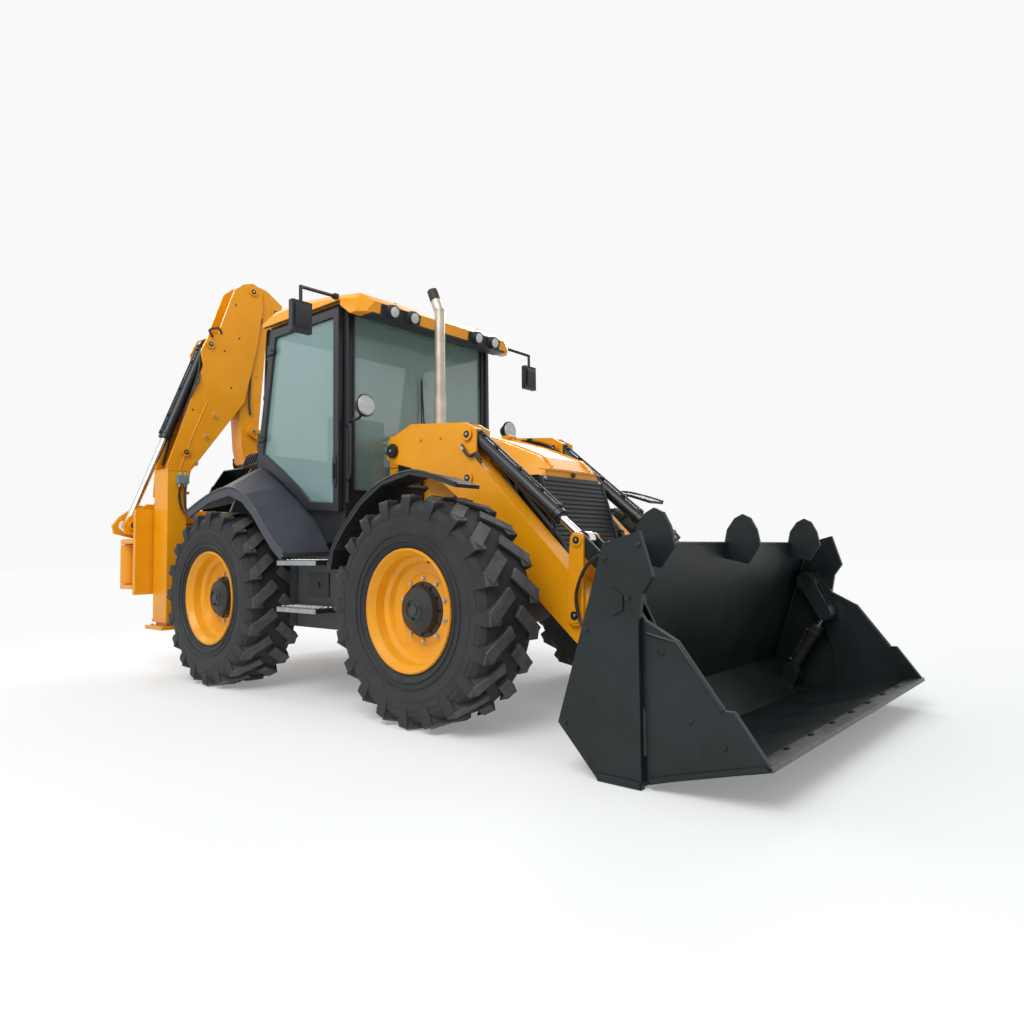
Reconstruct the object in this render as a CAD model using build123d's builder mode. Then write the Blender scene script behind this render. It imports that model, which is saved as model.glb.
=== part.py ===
from build123d import *
import os
from math import atan2, cos, hypot, pi, radians, sin

# Backhoe loader with four equal wheels, a clam shovel in front and a sideshift
# backhoe folded across the rear. Millimetres. +X is forward, +Y the machine's
# left, +Z up. The origin is on the ground under the middle of the whole machine.

os.makedirs("parts", exist_ok=True)

# Running gear
WHEELBASE = 2220.0
MID_X = -262.0            # half way between the axles
FX = MID_X + WHEELBASE / 2
RX = MID_X - WHEELBASE / 2
TYRE_R = 655.0
TYRE_W = 420.0
WHEEL_Y = 955.0           # wheel's middle plane
KINGPIN_Y = 815.0
RIM_R = 332.0
FLANGE_R = 350.0
RIM_W = 380.0
HUB_R = 150.0
SPINDLE_R = 50.0
KINGPIN_R = 28.0
FIT = 0.05                # radial play of a pin in its bore
SEAT = 0.3                # gap between curved faces that seat
PLAY = 5.0                # side play between moving plates
BORE_START = 70.0         # from a cylinder's base pin to the bottom of its bore
ROD_SPARE = 10.0          # between the bore's bottom and the rod at its shortest

# Frame
RAIL_Y = 285.0
RAIL_W = 80.0
RAIL_Z = (800.0, 980.0)

# Loader, seen from the side: x from the front axle, z from the ground
ARM_Y = 455.0
ARM_W = 130.0
ARM_PLATE = 12.0
LIFT_PIVOT = (FX - 830, 1690.0)
LIFT_BASE = (FX - 810, 750.0)
LIFT_PIN = (FX - 110, 1450.0)
TILT_BASE = (FX - 110, 1730.0)
LEVER_PIVOT = (FX + 720, 620.0)
SHOVEL_PIN = (FX + 1050, 330.0)
LEVER_VEC = (20.0, 420.0)
LEVER_TOP = (LEVER_PIVOT[0] + LEVER_VEC[0], LEVER_PIVOT[1] + LEVER_VEC[1])
LINK_PIN = (SHOVEL_PIN[0] + LEVER_VEC[0], SHOVEL_PIN[1] + LEVER_VEC[1])
PIN_R = 32.0
EYE_W = 60.0              # width of a cylinder's eye
LEVER_T = 16.0
LINK_T = 16.0

LIFT_BARREL = (46.0, 880.0)    # outer radius, length from the base pin
LIFT_ROD_R = 27.0
TILT_BARREL = (42.0, 880.0)
TILT_ROD_R = 24.0

# Shovel
SHOVEL_W = 2500.0
SIDE_T = 25.0
WALL_T = 18.0
CLAM_PIVOT = (FX + 1430, 760.0)
CLAM_BASE = (FX + 1302, 162.0)
CLAM_EYE = (FX + 1540, 560.0)
CLAM_RAM_Y = SHOVEL_W / 2 - 120
EAR_Y = SHOVEL_W / 2 - 290    # the outer spill ears on the shovel's top edge
CLAM_BARREL = (32.0, 360.0)
CLAM_ROD_R = 16.0

# Cab
CAB_HALF = 740.0
CAB_REAR = RX - 10
CAB_FRONT = FX - 1090
CAB_FLOOR = 1060.0
CAB_TOP = 2760.0
WALL = 40.0

# Backhoe, seen from the front: y and z in the plane x = HOE_X
HOE_X = RX - 1290
SWING_Y = -1185.0
BOOM_FOOT = (-1005.0, 1020.0)
BOOM_EAR = (-540.0, 2935.0)
RAM_FOOT = (-1215.0, 1235.0)
DIP_PIVOT = (-110.0, 3540.0)
DIP_RAM_BASE = (-760.0, 1905.0)
DIP_EYE = (-134.0, 3271.0)
BUCKET_PIN = (-120.0, 1890.0)
HOE_LEVER = (-100.0, 2170.0)
BUCKET_ARM = 250.0
BUCKET_ARM_DEG = -30.0
BUCKET_DIR_DEG = -115.0
BUCKET_W = 550.0
HOE_RAM_BASE = (150.0, 3400.0)
BOOM_GAP = 95.0
SWING_EYES = (700.0, 1080.0)    # underside of each of the carriage's two eyes
BOOM_T = 20.0
CHEEK_IN = 95.0
CHEEK_T = 30.0
BOOM_BARREL = (46.0, 980.0)
BOOM_ROD_R = 29.0
DIP_BARREL = (43.0, 1060.0)
DIP_ROD_R = 27.0
HOE_BARREL = (38.0, 880.0)
HOE_ROD_R = 22.0

# Stabilisers and rear frame
LEG_Y = 1040.0
LEG_X = RX - 856
LEG_BOX = (240.0, 160.0)
LEG_WALL = 14.0
LEG_Z = (430.0, 1690.0)
LEG_FOOT_Z = 372.0
RAIL_FACE = RX - 995
FRAME_FACE = RX - 955


def side(y):
    """Upright plane along the machine: local x is +X, local y is +Z."""
    return Plane.XZ.offset(-y)


def across(x):
    """Upright plane across the machine: local x is +Y, local y is +Z."""
    return Plane.YZ.offset(x)


def level(z):
    return Plane.XY.offset(z)


def slab(plane, points, thick, corner=0, mode=Mode.ADD):
    """A plate with a polygon outline, centred on its plane."""
    with BuildSketch(plane) as face:
        with BuildLine():
            Polyline(*points, close=True)
        make_face()
        if corner:
            fillet(face.vertices(), corner)
    extrude(face.sketch, amount=thick / 2, both=True, mode=mode)


def strap(plane, start, end, r_start, r_end, thick, mode=Mode.ADD):
    """A plate whose outline wraps two round ends."""
    with BuildSketch(plane) as face:
        with Locations(start):
            Circle(r_start)
        with Locations(end):
            Circle(r_end)
        make_hull()
    extrude(face.sketch, amount=thick / 2, both=True, mode=mode)


def disc(plane, centre, radius, thick, mode=Mode.ADD):
    with BuildSketch(plane) as face:
        with Locations(centre):
            Circle(radius)
    extrude(face.sketch, amount=thick / 2, both=True, mode=mode)


def bar(start, end, radius, mode=Mode.ADD):
    """A round bar between two points in space."""
    axis = Vector(*end) - Vector(*start)
    with BuildSketch(Plane(origin=start, z_dir=axis)) as face:
        Circle(radius)
    extrude(face.sketch, amount=axis.length, mode=mode)


def block(low, high, mode=Mode.ADD):
    """A box between two corners."""
    size = [high[i] - low[i] for i in range(3)]
    centre = tuple((high[i] + low[i]) / 2 for i in range(3))
    with Locations(centre):
        Box(*size, mode=mode)


def toward(start, end, distance):
    """The point at a distance from start on the way to end, in a plane."""
    run = hypot(end[0] - start[0], end[1] - start[1])
    return (start[0] + (end[0] - start[0]) * distance / run,
            start[1] + (end[1] - start[1]) * distance / run)


def polar(centre, length, angle):
    return (centre[0] + length * cos(radians(angle)),
            centre[1] + length * sin(radians(angle)))


def band(points, thick):
    """The outline of a bent plate: the points, then the same line set in by its thickness."""
    inner = []
    for i, point in enumerate(points):
        before = points[max(i - 1, 0)]
        after = points[min(i + 1, len(points) - 1)]
        if i == 0:
            before = (2 * point[0] - after[0], 2 * point[1] - after[1])
        if i == len(points) - 1:
            after = (2 * point[0] - before[0], 2 * point[1] - before[1])
        a_in = atan2(point[1] - before[1], point[0] - before[0])
        a_out = atan2(after[1] - point[1], after[0] - point[0])
        half = (a_out - a_in + 3 * pi) % (2 * pi) - pi
        mid = a_in + half / 2
        reach = thick / cos(half / 2)
        inner.append((point[0] - reach * sin(mid), point[1] + reach * cos(mid)))
    return list(points) + inner[::-1]


def save(built, label):
    built.part.label = label
    export_step(built.part, f"parts/{label}.step")


# Wheels: tyre and rim turn together, the knuckle carries them
WHEELS = (  # name, x, side
    ("front_right", FX, -1),
    ("front_left", FX, 1),
    ("rear_right", RX, -1),
    ("rear_left", RX, 1),
)
LUG_H = 32.0
LUG_COUNT = 20            # on each side of the tread
LUG_W = 72.0
LUG_TURN = 38.0
LUG_LENGTH = 205.0
LUG_DROP = 6.0            # a flat bar's middle lies this far inside the tyre's radius
CARCASS_R = TYRE_R - LUG_H
TYRE_SECTION = (  # radius, distance from the middle plane
    (RIM_R + SEAT, RIM_W / 2 - 11),
    (FLANGE_R + 4, RIM_W / 2 - 11),
    (FLANGE_R + 40, TYRE_W / 2 - 12),
    (TYRE_R - 165, TYRE_W / 2 - 4),
    (CARCASS_R - 50, TYRE_W / 2 - 8),
    (CARCASS_R - 18, TYRE_W / 2 - 30),
    (CARCASS_R, TYRE_W / 2 - 80),
)
RIM_OUTER = (  # radius, distance out from the middle plane, along the yellow dish
    (FLANGE_R, RIM_W / 2),
    (FLANGE_R - 16, RIM_W / 2),
    (RIM_R - 22, RIM_W / 2 - 40),
    (RIM_R - 30, 95),
    (275, 80),
    (262, 50),
    (HUB_R + 60, 42),
    (HUB_R + 5, 60),
)
DISC_T = 16.0

# One tyre about the origin, its bars leaning from the middle out to each shoulder
with BuildPart() as tyre_shape:
    with BuildSketch(Plane.XY):
        with BuildLine():
            Polyline(*TYRE_SECTION, *[(r, -w) for r, w in TYRE_SECTION[::-1]], close=True)
        make_face()
    revolve(axis=Axis.Y)
    lug_mid = TYRE_W / 4 - 2
    lug_top = TYRE_R - LUG_DROP
    for hand in (-1, 1):
        for i in range(LUG_COUNT):
            turn = 360 / LUG_COUNT * (i + hand / 4)
            with Locations(Rotation(0, turn, 0) * Pos(lug_top - LUG_H, hand * lug_mid, 0)
                           * Rotation(-hand * LUG_TURN, 0, 0)):
                Box(2 * LUG_H, LUG_LENGTH, LUG_W)

for name, wheel_x, hand in WHEELS:
    centre = (wheel_x, hand * WHEEL_Y, TYRE_R)
    section = Plane(origin=centre, x_dir=(1, 0, 0), z_dir=(0, 0, 1))
    spin = Axis(centre, (0, 1, 0))
    tyre = tyre_shape.part.moved(Location(centre))
    tyre.label = f"tyre_{name}"
    export_step(tyre, f"parts/tyre_{name}.step")

    with BuildPart() as rim:
        outer = [(r, hand * w) for r, w in RIM_OUTER]
        inner = [(HUB_R + 5, 60 - DISC_T), (HUB_R + 60, 42 - DISC_T), (268, 30), (RIM_R - 14, 70),
                 (RIM_R - 12, -RIM_W / 2 + 20), (FLANGE_R - 16, -RIM_W / 2),
                 (FLANGE_R, -RIM_W / 2), (FLANGE_R, -RIM_W / 2 + 10),
                 (RIM_R, -RIM_W / 2 + 10), (RIM_R, RIM_W / 2 - 10), (FLANGE_R, RIM_W / 2 - 10)]
        with BuildSketch(section):
            with BuildLine():
                Polyline(*outer, *[(r, hand * w) for r, w in inner], close=True)
            make_face()
        revolve(axis=spin)
        # planetary hub through the dish
        hub_profile = [(SPINDLE_R + FIT, -20), (HUB_R - 15, -20), (HUB_R, 0), (HUB_R + 8, 40),
                       (HUB_R + 8, 64), (HUB_R - 12, 70), (HUB_R - 22, 110), (70, 135), (0, 138),
                       (0, 30), (SPINDLE_R + FIT, 30)]
        with BuildSketch(section):
            with BuildLine():
                Polyline(*[(r, hand * w) for r, w in hub_profile], close=True)
            make_face()
        revolve(axis=spin)
    save(rim, f"rim_{name}")

    with BuildPart() as knuckle:
        king = (wheel_x, hand * KINGPIN_Y, TYRE_R)
        bar((king[0], king[1], king[2] - 120), (king[0], king[1], king[2] + 120), 48)
        bar((king[0], king[1], king[2] - 120 - PLAY), (king[0], king[1], king[2] + 120 + PLAY),
            KINGPIN_R + FIT, mode=Mode.SUBTRACT)
        bar(king[:1] + (hand * (KINGPIN_Y + 30),) + king[2:],
            (wheel_x, hand * (WHEEL_Y - 50), TYRE_R), 110)
        bar((wheel_x, hand * (WHEEL_Y - 60), TYRE_R), (wheel_x, hand * (WHEEL_Y + 20), TYRE_R),
            SPINDLE_R)
    save(knuckle, f"knuckle_{name}")

# Axles: a housing with its drive head and the yokes that hold the knuckles
with BuildPart() as axles:
    for axle_x in (FX, RX):
        yoke_in = KINGPIN_Y - 75
        bar((axle_x, -yoke_in, TYRE_R), (axle_x, yoke_in, TYRE_R), 78)
        with Locations((axle_x, 0, TYRE_R)):
            Sphere(150)
        block((axle_x - 120, -360, TYRE_R + 60), (axle_x + 120, 360, RAIL_Z[0] - SEAT))
        for hand in (-1, 1):
            y_lo, y_hi = sorted((hand * (yoke_in - 60), hand * yoke_in))
            block((axle_x - 50, y_lo, TYRE_R - 155), (axle_x + 50, y_hi, TYRE_R + 155))
            for up in (-1, 1):
                z_in = TYRE_R + up * (120 + PLAY)
                z_out = TYRE_R + up * 155
                y_lo, y_hi = sorted((hand * (yoke_in - 1), hand * KINGPIN_Y))
                block((axle_x - 45, y_lo, min(z_in, z_out)), (axle_x + 45, y_hi, max(z_in, z_out)))
                bar((axle_x, hand * KINGPIN_Y, z_in), (axle_x, hand * KINGPIN_Y, z_out), 45)
            bar((axle_x, hand * KINGPIN_Y, TYRE_R - 155), (axle_x, hand * KINGPIN_Y, TYRE_R + 155),
                KINGPIN_R)
save(axles, "axles")

# Chassis frame: two rails with cross members, and the towers that hold the loader
TOWER_T = 16.0
TOWER = [(LIFT_PIVOT[0] - 110, 1640), (LIFT_PIVOT[0] - 60, 1775), (LIFT_PIVOT[0] + 60, 1775),
         (LIFT_PIVOT[0] + 110, 1650), (LIFT_BASE[0] + 150, 1000), (LIFT_BASE[0] + 130, 700),
         (LIFT_BASE[0] + 60, 660), (LIFT_BASE[0] - 90, 660), (LIFT_BASE[0] - 130, 900)]
TOWER_LOW = [(LIFT_BASE[0] - 120, 1000), (LIFT_BASE[0] + 150, 1000), (LIFT_BASE[0] + 130, 700),
             (LIFT_BASE[0] + 60, 660), (LIFT_BASE[0] - 90, 660), (LIFT_BASE[0] - 130, 900)]
with BuildPart() as chassis:
    for hand in (-1, 1):
        y_lo, y_hi = sorted((hand * (RAIL_Y - RAIL_W / 2), hand * (RAIL_Y + RAIL_W / 2)))
        block((FRAME_FACE + 60, y_lo, RAIL_Z[0]), (FX + 560, y_hi, RAIL_Z[1]))
        plate_off = ARM_W / 2 + PLAY + TOWER_T / 2
        slab(side(hand * (ARM_Y - plate_off)), TOWER, TOWER_T)
        slab(side(hand * (ARM_Y + plate_off)), TOWER_LOW, TOWER_T)
        for pin in (LIFT_PIVOT, LIFT_BASE):
            disc(side(hand * ARM_Y), pin, PIN_R, ARM_W + 2 * PLAY + 2 * TOWER_T + 6)
        disc(side(hand * (ARM_Y + ARM_W / 2 + PLAY + 8)), LIFT_PIVOT, 50, 16)
        y_lo, y_hi = sorted((hand * (RAIL_Y + RAIL_W / 2 - 1), hand * (ARM_Y + 85)))
        block((LIFT_BASE[0] - 130, y_lo, 900), (LIFT_BASE[0] - 60, y_hi, RAIL_Z[1]))
    for cross_x in (RX - 500, MID_X, FX - 450, FX + 440):
        block((cross_x - 40, -RAIL_Y, RAIL_Z[0] + 20), (cross_x + 40, RAIL_Y, RAIL_Z[1] - 20))
    # lower side of the rails carries the front weight block
    block((FX + 480, -RAIL_Y - RAIL_W / 2, 620), (FX + 590, RAIL_Y + RAIL_W / 2, RAIL_Z[1]))
save(chassis, "chassis_frame")

with BuildPart() as engine:
    block((FX - 340, -230, RAIL_Z[1] + 20), (FX + 290, 230, 1420))
    for x in (FX - 250, FX + 230):
        block((x - 40, -RAIL_Y - 20, RAIL_Z[1] + SEAT), (x + 40, RAIL_Y + 20, RAIL_Z[1] + 60))
save(engine, "engine_block")

# Rear frame: back plate with its rails, and the stabiliser housings
with BuildPart() as rear_frame:
    plate_half = LEG_Y - LEG_BOX[1] / 2 + 5
    block((FRAME_FACE, -plate_half, 660), (FRAME_FACE + 60, plate_half, 1360))
    block((FRAME_FACE - 1, -700, 880), (FRAME_FACE + 61, 700, 1150), mode=Mode.SUBTRACT)
    for z in (740, 1280):
        block((RAIL_FACE, -LEG_Y, z - 40), (FRAME_FACE + 1, LEG_Y, z + 40))
    for hand in (-1, 1):
        low = (LEG_X - LEG_BOX[0] / 2, hand * LEG_Y - LEG_BOX[1] / 2, LEG_Z[0])
        high = (LEG_X + LEG_BOX[0] / 2, hand * LEG_Y + LEG_BOX[1] / 2, LEG_Z[1])
        block(low, high)
        block((low[0] + LEG_WALL, low[1] + LEG_WALL, LEG_Z[0] - 1),
              (high[0] - LEG_WALL, high[1] - LEG_WALL, LEG_Z[1] - LEG_WALL), mode=Mode.SUBTRACT)
        y_lo, y_hi = sorted((hand * (LEG_Y - LEG_BOX[1] / 2 + 1), hand * 300))
        block((FRAME_FACE + 59, y_lo, 1250), (FRAME_FACE + 120, y_hi, 1340))
save(rear_frame, "rear_frame")

for name, hand in (("right", -1), ("left", 1)):
    with BuildPart() as leg:
        gap = LEG_WALL + PLAY
        block((LEG_X - LEG_BOX[0] / 2 + gap, hand * LEG_Y - LEG_BOX[1] / 2 + gap, LEG_FOOT_Z + 20),
              (LEG_X + LEG_BOX[0] / 2 - gap, hand * LEG_Y + LEG_BOX[1] / 2 - gap, LEG_Z[1] - 60))
        pad = LEG_WALL + SEAT
        block((LEG_X - LEG_BOX[0] / 2 + pad, hand * LEG_Y - LEG_BOX[1] / 2 + pad, LEG_Z[1] - 160),
              (LEG_X + LEG_BOX[0] / 2 - pad, hand * LEG_Y + LEG_BOX[1] / 2 - pad, LEG_Z[1] - 80))
        block((LEG_X - 150, hand * LEG_Y - 130, LEG_FOOT_Z),
              (LEG_X + 150, hand * LEG_Y + 130, LEG_FOOT_Z + 30))
    save(leg, f"stabiliser_leg_{name}")

# Loader arms: boxed plates either side of the cylinders, joined by a cross tube
ARM_OUTLINE = [(LIFT_PIVOT[0] - 75, 1640), (LIFT_PIVOT[0] - 60, 1770), (FX - 650, 1860),
               (FX - 130, 1810), (FX - 40, 1760), (FX - 40, 1560), (FX + 720, 820),
               (FX + 860, 640), (SHOVEL_PIN[0] + 50, SHOVEL_PIN[1] + 60),
               (SHOVEL_PIN[0] + 60, SHOVEL_PIN[1] - 30), (SHOVEL_PIN[0] - 10, SHOVEL_PIN[1] - 66),
               (FX + 710, 470), (FX + 440, 700), (FX - 190, 1320), (FX - 340, 1430),
               (FX - 660, 1560), (LIFT_PIVOT[0], 1605)]
LIFT_SLOT = [(FX, 1450), (FX - 60, 1545), (FX - 300, 1600), (FX - 770, 1620), (FX - 770, 1200),
             (FX + 50, 900)]
TILT_SLOT = [(FX - 205, 1900), (FX - 205, 1650), (FX - 110, 1625), (FX + 20, 1500), (FX + 20, 1900)]
with BuildPart() as arms:
    slot_w = ARM_W - 2 * ARM_PLATE
    for hand in (-1, 1):
        plane = side(hand * ARM_Y)
        slab(plane, ARM_OUTLINE, ARM_W)
        slab(plane, LIFT_SLOT, slot_w, mode=Mode.SUBTRACT)
        slab(plane, TILT_SLOT, slot_w, mode=Mode.SUBTRACT)
        disc(plane, LIFT_PIVOT, PIN_R + FIT, ARM_W + 2, mode=Mode.SUBTRACT)
        disc(plane, TILT_BASE, PIN_R, ARM_W + 20)
        disc(plane, LEVER_PIVOT, PIN_R, ARM_W + 2 * PLAY + 2 * LEVER_T)
        disc(plane, SHOVEL_PIN, PIN_R, ARM_W + 2 * PLAY + 2 * LEVER_T + 10)
        for shift in (-1, 1):
            disc(side(hand * ARM_Y + shift * (ARM_W / 2 - ARM_PLATE / 2)), LIFT_PIN, 60, ARM_PLATE)
            disc(side(hand * ARM_Y + shift * (ARM_W / 2 + 3)), LIFT_PIN, PIN_R, 10)
    bar((FX + 780, -ARM_Y, 500), (FX + 780, ARM_Y, 500), 60)
save(arms, "loader_arms")


def cylinder_barrel(plane, base, eye, radius, length, eye_w=EYE_W):
    """A hydraulic barrel with its base eye, bored for the base pin."""
    start = toward(base, eye, 40)
    end = toward(base, eye, length)
    p, q = plane.from_local_coords(start), plane.from_local_coords(end)
    bar(p, q, radius)
    neck = plane.from_local_coords(toward(base, eye, length - 40))
    bar(neck, q, radius + 6)
    disc(plane, base, PIN_R + 22, eye_w)
    disc(plane, base, PIN_R + FIT, eye_w + 40, mode=Mode.SUBTRACT)


def cylinder_rod(plane, base, eye, radius, overlap, eye_w=EYE_W):
    """A rod that starts inside the barrel and ends in its eye, open to its pin's stubs."""
    start = toward(eye, base, overlap)
    end = toward(eye, base, 40)
    bar(plane.from_local_coords(start), plane.from_local_coords(end), radius)
    disc(plane, eye, PIN_R + 20, eye_w)
    disc(plane, eye, PIN_R - 4, eye_w + 2, mode=Mode.SUBTRACT)


def bore_barrel(plane, base, eye, radius, length):
    """The bore the rod slides in, open at the gland end."""
    start = plane.from_local_coords(toward(base, eye, BORE_START))
    end = plane.from_local_coords(toward(base, eye, length + 1))
    bar(start, end, radius, mode=Mode.SUBTRACT)


def pair_of_cylinders(label, base, eye, barrel, rod_r, y, inward):
    """Two cylinders, left and right; inward is how far the rods go in from here."""
    run = hypot(eye[0] - base[0], eye[1] - base[1])
    overlap = run - BORE_START - ROD_SPARE - inward
    with BuildPart() as barrels:
        for hand in (-1, 1):
            cylinder_barrel(side(hand * y), base, eye, barrel[0], barrel[1])
            bore_barrel(side(hand * y), base, eye, rod_r + FIT, barrel[1])
    save(barrels, f"{label}_barrels")
    with BuildPart() as rods:
        for hand in (-1, 1):
            cylinder_rod(side(hand * y), base, eye, rod_r, overlap)
    save(rods, f"{label}_rods")


pair_of_cylinders("lift", LIFT_BASE, LIFT_PIN, LIFT_BARREL, LIFT_ROD_R, ARM_Y, 20)
pair_of_cylinders("tilt", TILT_BASE, LEVER_TOP, TILT_BARREL, TILT_ROD_R, ARM_Y, 155)

with BuildPart() as levers:
    for hand in (-1, 1):
        for shift in (-1, 1):
            y = hand * ARM_Y + shift * (ARM_W / 2 + PLAY + LEVER_T / 2)
            strap(side(y), LEVER_PIVOT, LEVER_TOP, 58, 46, LEVER_T)
            disc(side(y), LEVER_PIVOT, PIN_R + FIT, LEVER_T + 2, mode=Mode.SUBTRACT)
            if shift * hand > 0:
                disc(side(y + shift * (LEVER_T / 2)), LEVER_TOP, PIN_R + 6, 4)
            inner = y - shift * (LEVER_T / 2 + LINK_T / 2 + 2)
            disc(side(inner), LEVER_TOP, PIN_R, LINK_T + 6)
save(levers, "tipping_levers")

with BuildPart() as links:
    for hand in (-1, 1):
        for shift in (-1, 1):
            y = hand * ARM_Y + shift * (ARM_W / 2 + PLAY - 3 - LINK_T / 2)
            strap(side(y), LEVER_TOP, LINK_PIN, 45, 45, LINK_T)
            for pin in (LEVER_TOP, LINK_PIN):
                disc(side(y), pin, PIN_R + FIT, LINK_T + 2, mode=Mode.SUBTRACT)
save(links, "tipping_links")

# Shovel: the back with its side plates, and the clam that opens forward
BACK_LINE = [(FX + 1550, 10), (FX + 1340, 8), (FX + 1130, 225), (FX + 1210, 470), (FX + 1380, 1010)]
REAR_SIDE = [(FX + 1380, 1010), (FX + 1560, 1060), (FX + 1620, 870), (FX + 1570, 800),
             (FX + 1550, 690), (FX + 1550, 0), (FX + 1340, 0), (FX + 1130, 220), (FX + 1210, 470)]
with BuildPart() as shovel:
    slab(side(0), band(BACK_LINE[::-1], WALL_T), SHOVEL_W - 2)
    for hand in (-1, 1):
        slab(side(hand * (SHOVEL_W - SIDE_T) / 2), REAR_SIDE, SIDE_T)
        disc(side(hand * (SHOVEL_W / 2 - 80)), CLAM_PIVOT, PIN_R, 160)
        for shift in (-1, 1):
            y = hand * ARM_Y + shift * (ARM_W / 2 + PLAY + LEVER_T / 2)
            ear = [(SHOVEL_PIN[0] - 50, SHOVEL_PIN[1] - 50), (SHOVEL_PIN[0] - 50, SHOVEL_PIN[1] + 60),
                   (LINK_PIN[0] - 52, LINK_PIN[1] - 20), (LINK_PIN[0] - 45, LINK_PIN[1] + 50),
                   (LINK_PIN[0] + 60, LINK_PIN[1] + 60), (FX + 1305, 780), (FX + 1140, 250)]
            slab(side(y), ear, LEVER_T)
            disc(side(y), SHOVEL_PIN, PIN_R + FIT, LEVER_T + 2, mode=Mode.SUBTRACT)
            disc(side(y - shift * (LEVER_T / 2 + LINK_T / 2 + 2)), LINK_PIN, PIN_R, LINK_T + 6)
    for y in (-EAR_Y, 0, EAR_Y):
        slab(side(y), [(FX + 1362, 985), (FX + 1385, 1090), (FX + 1430, 1150), (FX + 1475, 1172),
                       (FX + 1520, 1150), (FX + 1555, 1085), (FX + 1572, 1000), (FX + 1500, 900),
                       (FX + 1362, 930)], 20)
    for hand in (-1, 1):
        for shift in (-1, 1):
            y = hand * CLAM_RAM_Y + shift * (EYE_W / 2 + PLAY + 8)
            slab(side(y), [(CLAM_BASE[0] - 60, CLAM_BASE[1] - 60), (CLAM_BASE[0] - 30, CLAM_BASE[1] + 55),
                           (CLAM_BASE[0] + 40, CLAM_BASE[1] + 40), (CLAM_BASE[0] + 55, CLAM_BASE[1] - 40),
                           (CLAM_BASE[0] + 20, CLAM_BASE[1] - 130)], 16)
        disc(side(hand * CLAM_RAM_Y), CLAM_BASE, PIN_R, EYE_W + 2 * PLAY + 32)
save(shovel, "shovel_back")

CLAM_SIDE = [(FX + 1560, 60), (FX + 1562, 640), (FX + 1710, 610), (FX + 1900, 360), (FX + 1940, 360),
             (FX + 2080, 170), (FX + 1560, 30)]
with BuildPart() as clam:
    slab(side(0), band([(FX + 1562, 20), (FX + 2080, 160)], WALL_T), SHOVEL_W - 64)
    for hand in (-1, 1):
        inner_y = hand * (SHOVEL_W / 2 - SIDE_T - PLAY - 14)
        slab(side(inner_y), CLAM_SIDE, 28)
        slab(side(inner_y), [(FX + 1370, 740), (FX + 1410, 700), (FX + 1562, 300), (FX + 1700, 480),
                             (FX + 1710, 612), (FX + 1562, 690), (FX + 1470, 815), (FX + 1400, 820)], 28)
        disc(side(hand * (SHOVEL_W / 2 - SIDE_T - PLAY - 70)), CLAM_PIVOT, 62, 140)
        disc(side(hand * (SHOVEL_W / 2 - SIDE_T - PLAY - 70)), CLAM_PIVOT, PIN_R + FIT, 160,
             mode=Mode.SUBTRACT)
        for shift in (-1, 1):
            y = hand * CLAM_RAM_Y + shift * (EYE_W / 2 + PLAY + 8)
            strap(side(y), CLAM_PIVOT, CLAM_EYE, 50, 44, 16)
            disc(side(y), CLAM_PIVOT, PIN_R + FIT, 40, mode=Mode.SUBTRACT)
save(clam, "shovel_clam")
pair_of_cylinders("clam", CLAM_BASE, CLAM_EYE, CLAM_BARREL, CLAM_ROD_R, CLAM_RAM_Y, 0)

# Bonnet: a yellow top over black sides and grille, hinged at its back edge
HOOD_REAR = FX - 380
HOOD_FRONT = FX + 330
HOOD_FOOT = (FX + 475, 990.0)
HOOD_HALF = 352.0
HOOD_SEAM = (1480.0, 1450.0)
HOOD_T = 25.0
HOOD_HINGE = (HOOD_REAR + 8, 1820.0)
HOOD_TOP = [(HOOD_REAR, HOOD_SEAM[0]), (HOOD_REAR, 1800), (FX - 40, 1700), (FX + 245, 1585),
            (HOOD_FRONT, 1500), (HOOD_FRONT, HOOD_SEAM[1])]
HOOD_CROWN = 95.0
with BuildPart() as hood_hollow:
    slab(side(0), [(HOOD_REAR - 1, 1400), (HOOD_REAR - 1, 1770), (FX - 45, 1672), (FX + 230, 1558),
                   (HOOD_FRONT - HOOD_T, 1485), (HOOD_FRONT - HOOD_T, 1300)],
         2 * (HOOD_HALF - HOOD_T))
    chamfer(hood_hollow.faces().filter_by(lambda f: f.normal_at().Z > 0.5).edges().filter_by(
        lambda e: abs(e.center().Y) > HOOD_HALF - HOOD_T - 1), HOOD_CROWN - 10)
with BuildPart() as hood_top:
    slab(side(0), HOOD_TOP, 2 * HOOD_HALF)
    chamfer(hood_top.faces().filter_by(lambda f: f.normal_at().Z > 0.5).edges().filter_by(
        lambda e: abs(e.center().Y) > HOOD_HALF - 1), HOOD_CROWN)
    add(hood_hollow.part, mode=Mode.SUBTRACT)
    for y in (-220, 220):
        disc(side(y), HOOD_HINGE, 14, 40)
        block((HOOD_HINGE[0] - 4, y - 20, 1785), (HOOD_HINGE[0] + 14, y + 20, 1820))
        disc(side(y), HOOD_HINGE, 8 + FIT, 42, mode=Mode.SUBTRACT)
save(hood_top, "hood_top")

HOOD_SIDE = [(HOOD_REAR, HOOD_SEAM[0] - SEAT), (HOOD_FRONT, HOOD_SEAM[1] - SEAT), HOOD_FOOT,
             (HOOD_REAR, 1010)]
with BuildPart() as hood_sides:
    slab(side(0), HOOD_SIDE, 2 * HOOD_HALF)
    slab(side(0), [(HOOD_REAR - 1, 1700), (HOOD_FRONT - HOOD_T, 1700),
                   (HOOD_FRONT - HOOD_T, HOOD_SEAM[1]), (HOOD_FOOT[0] - HOOD_T, 980),
                   (HOOD_REAR - 1, 980)], 2 * (HOOD_HALF - HOOD_T), mode=Mode.SUBTRACT)
save(hood_sides, "hood_sides")

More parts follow.
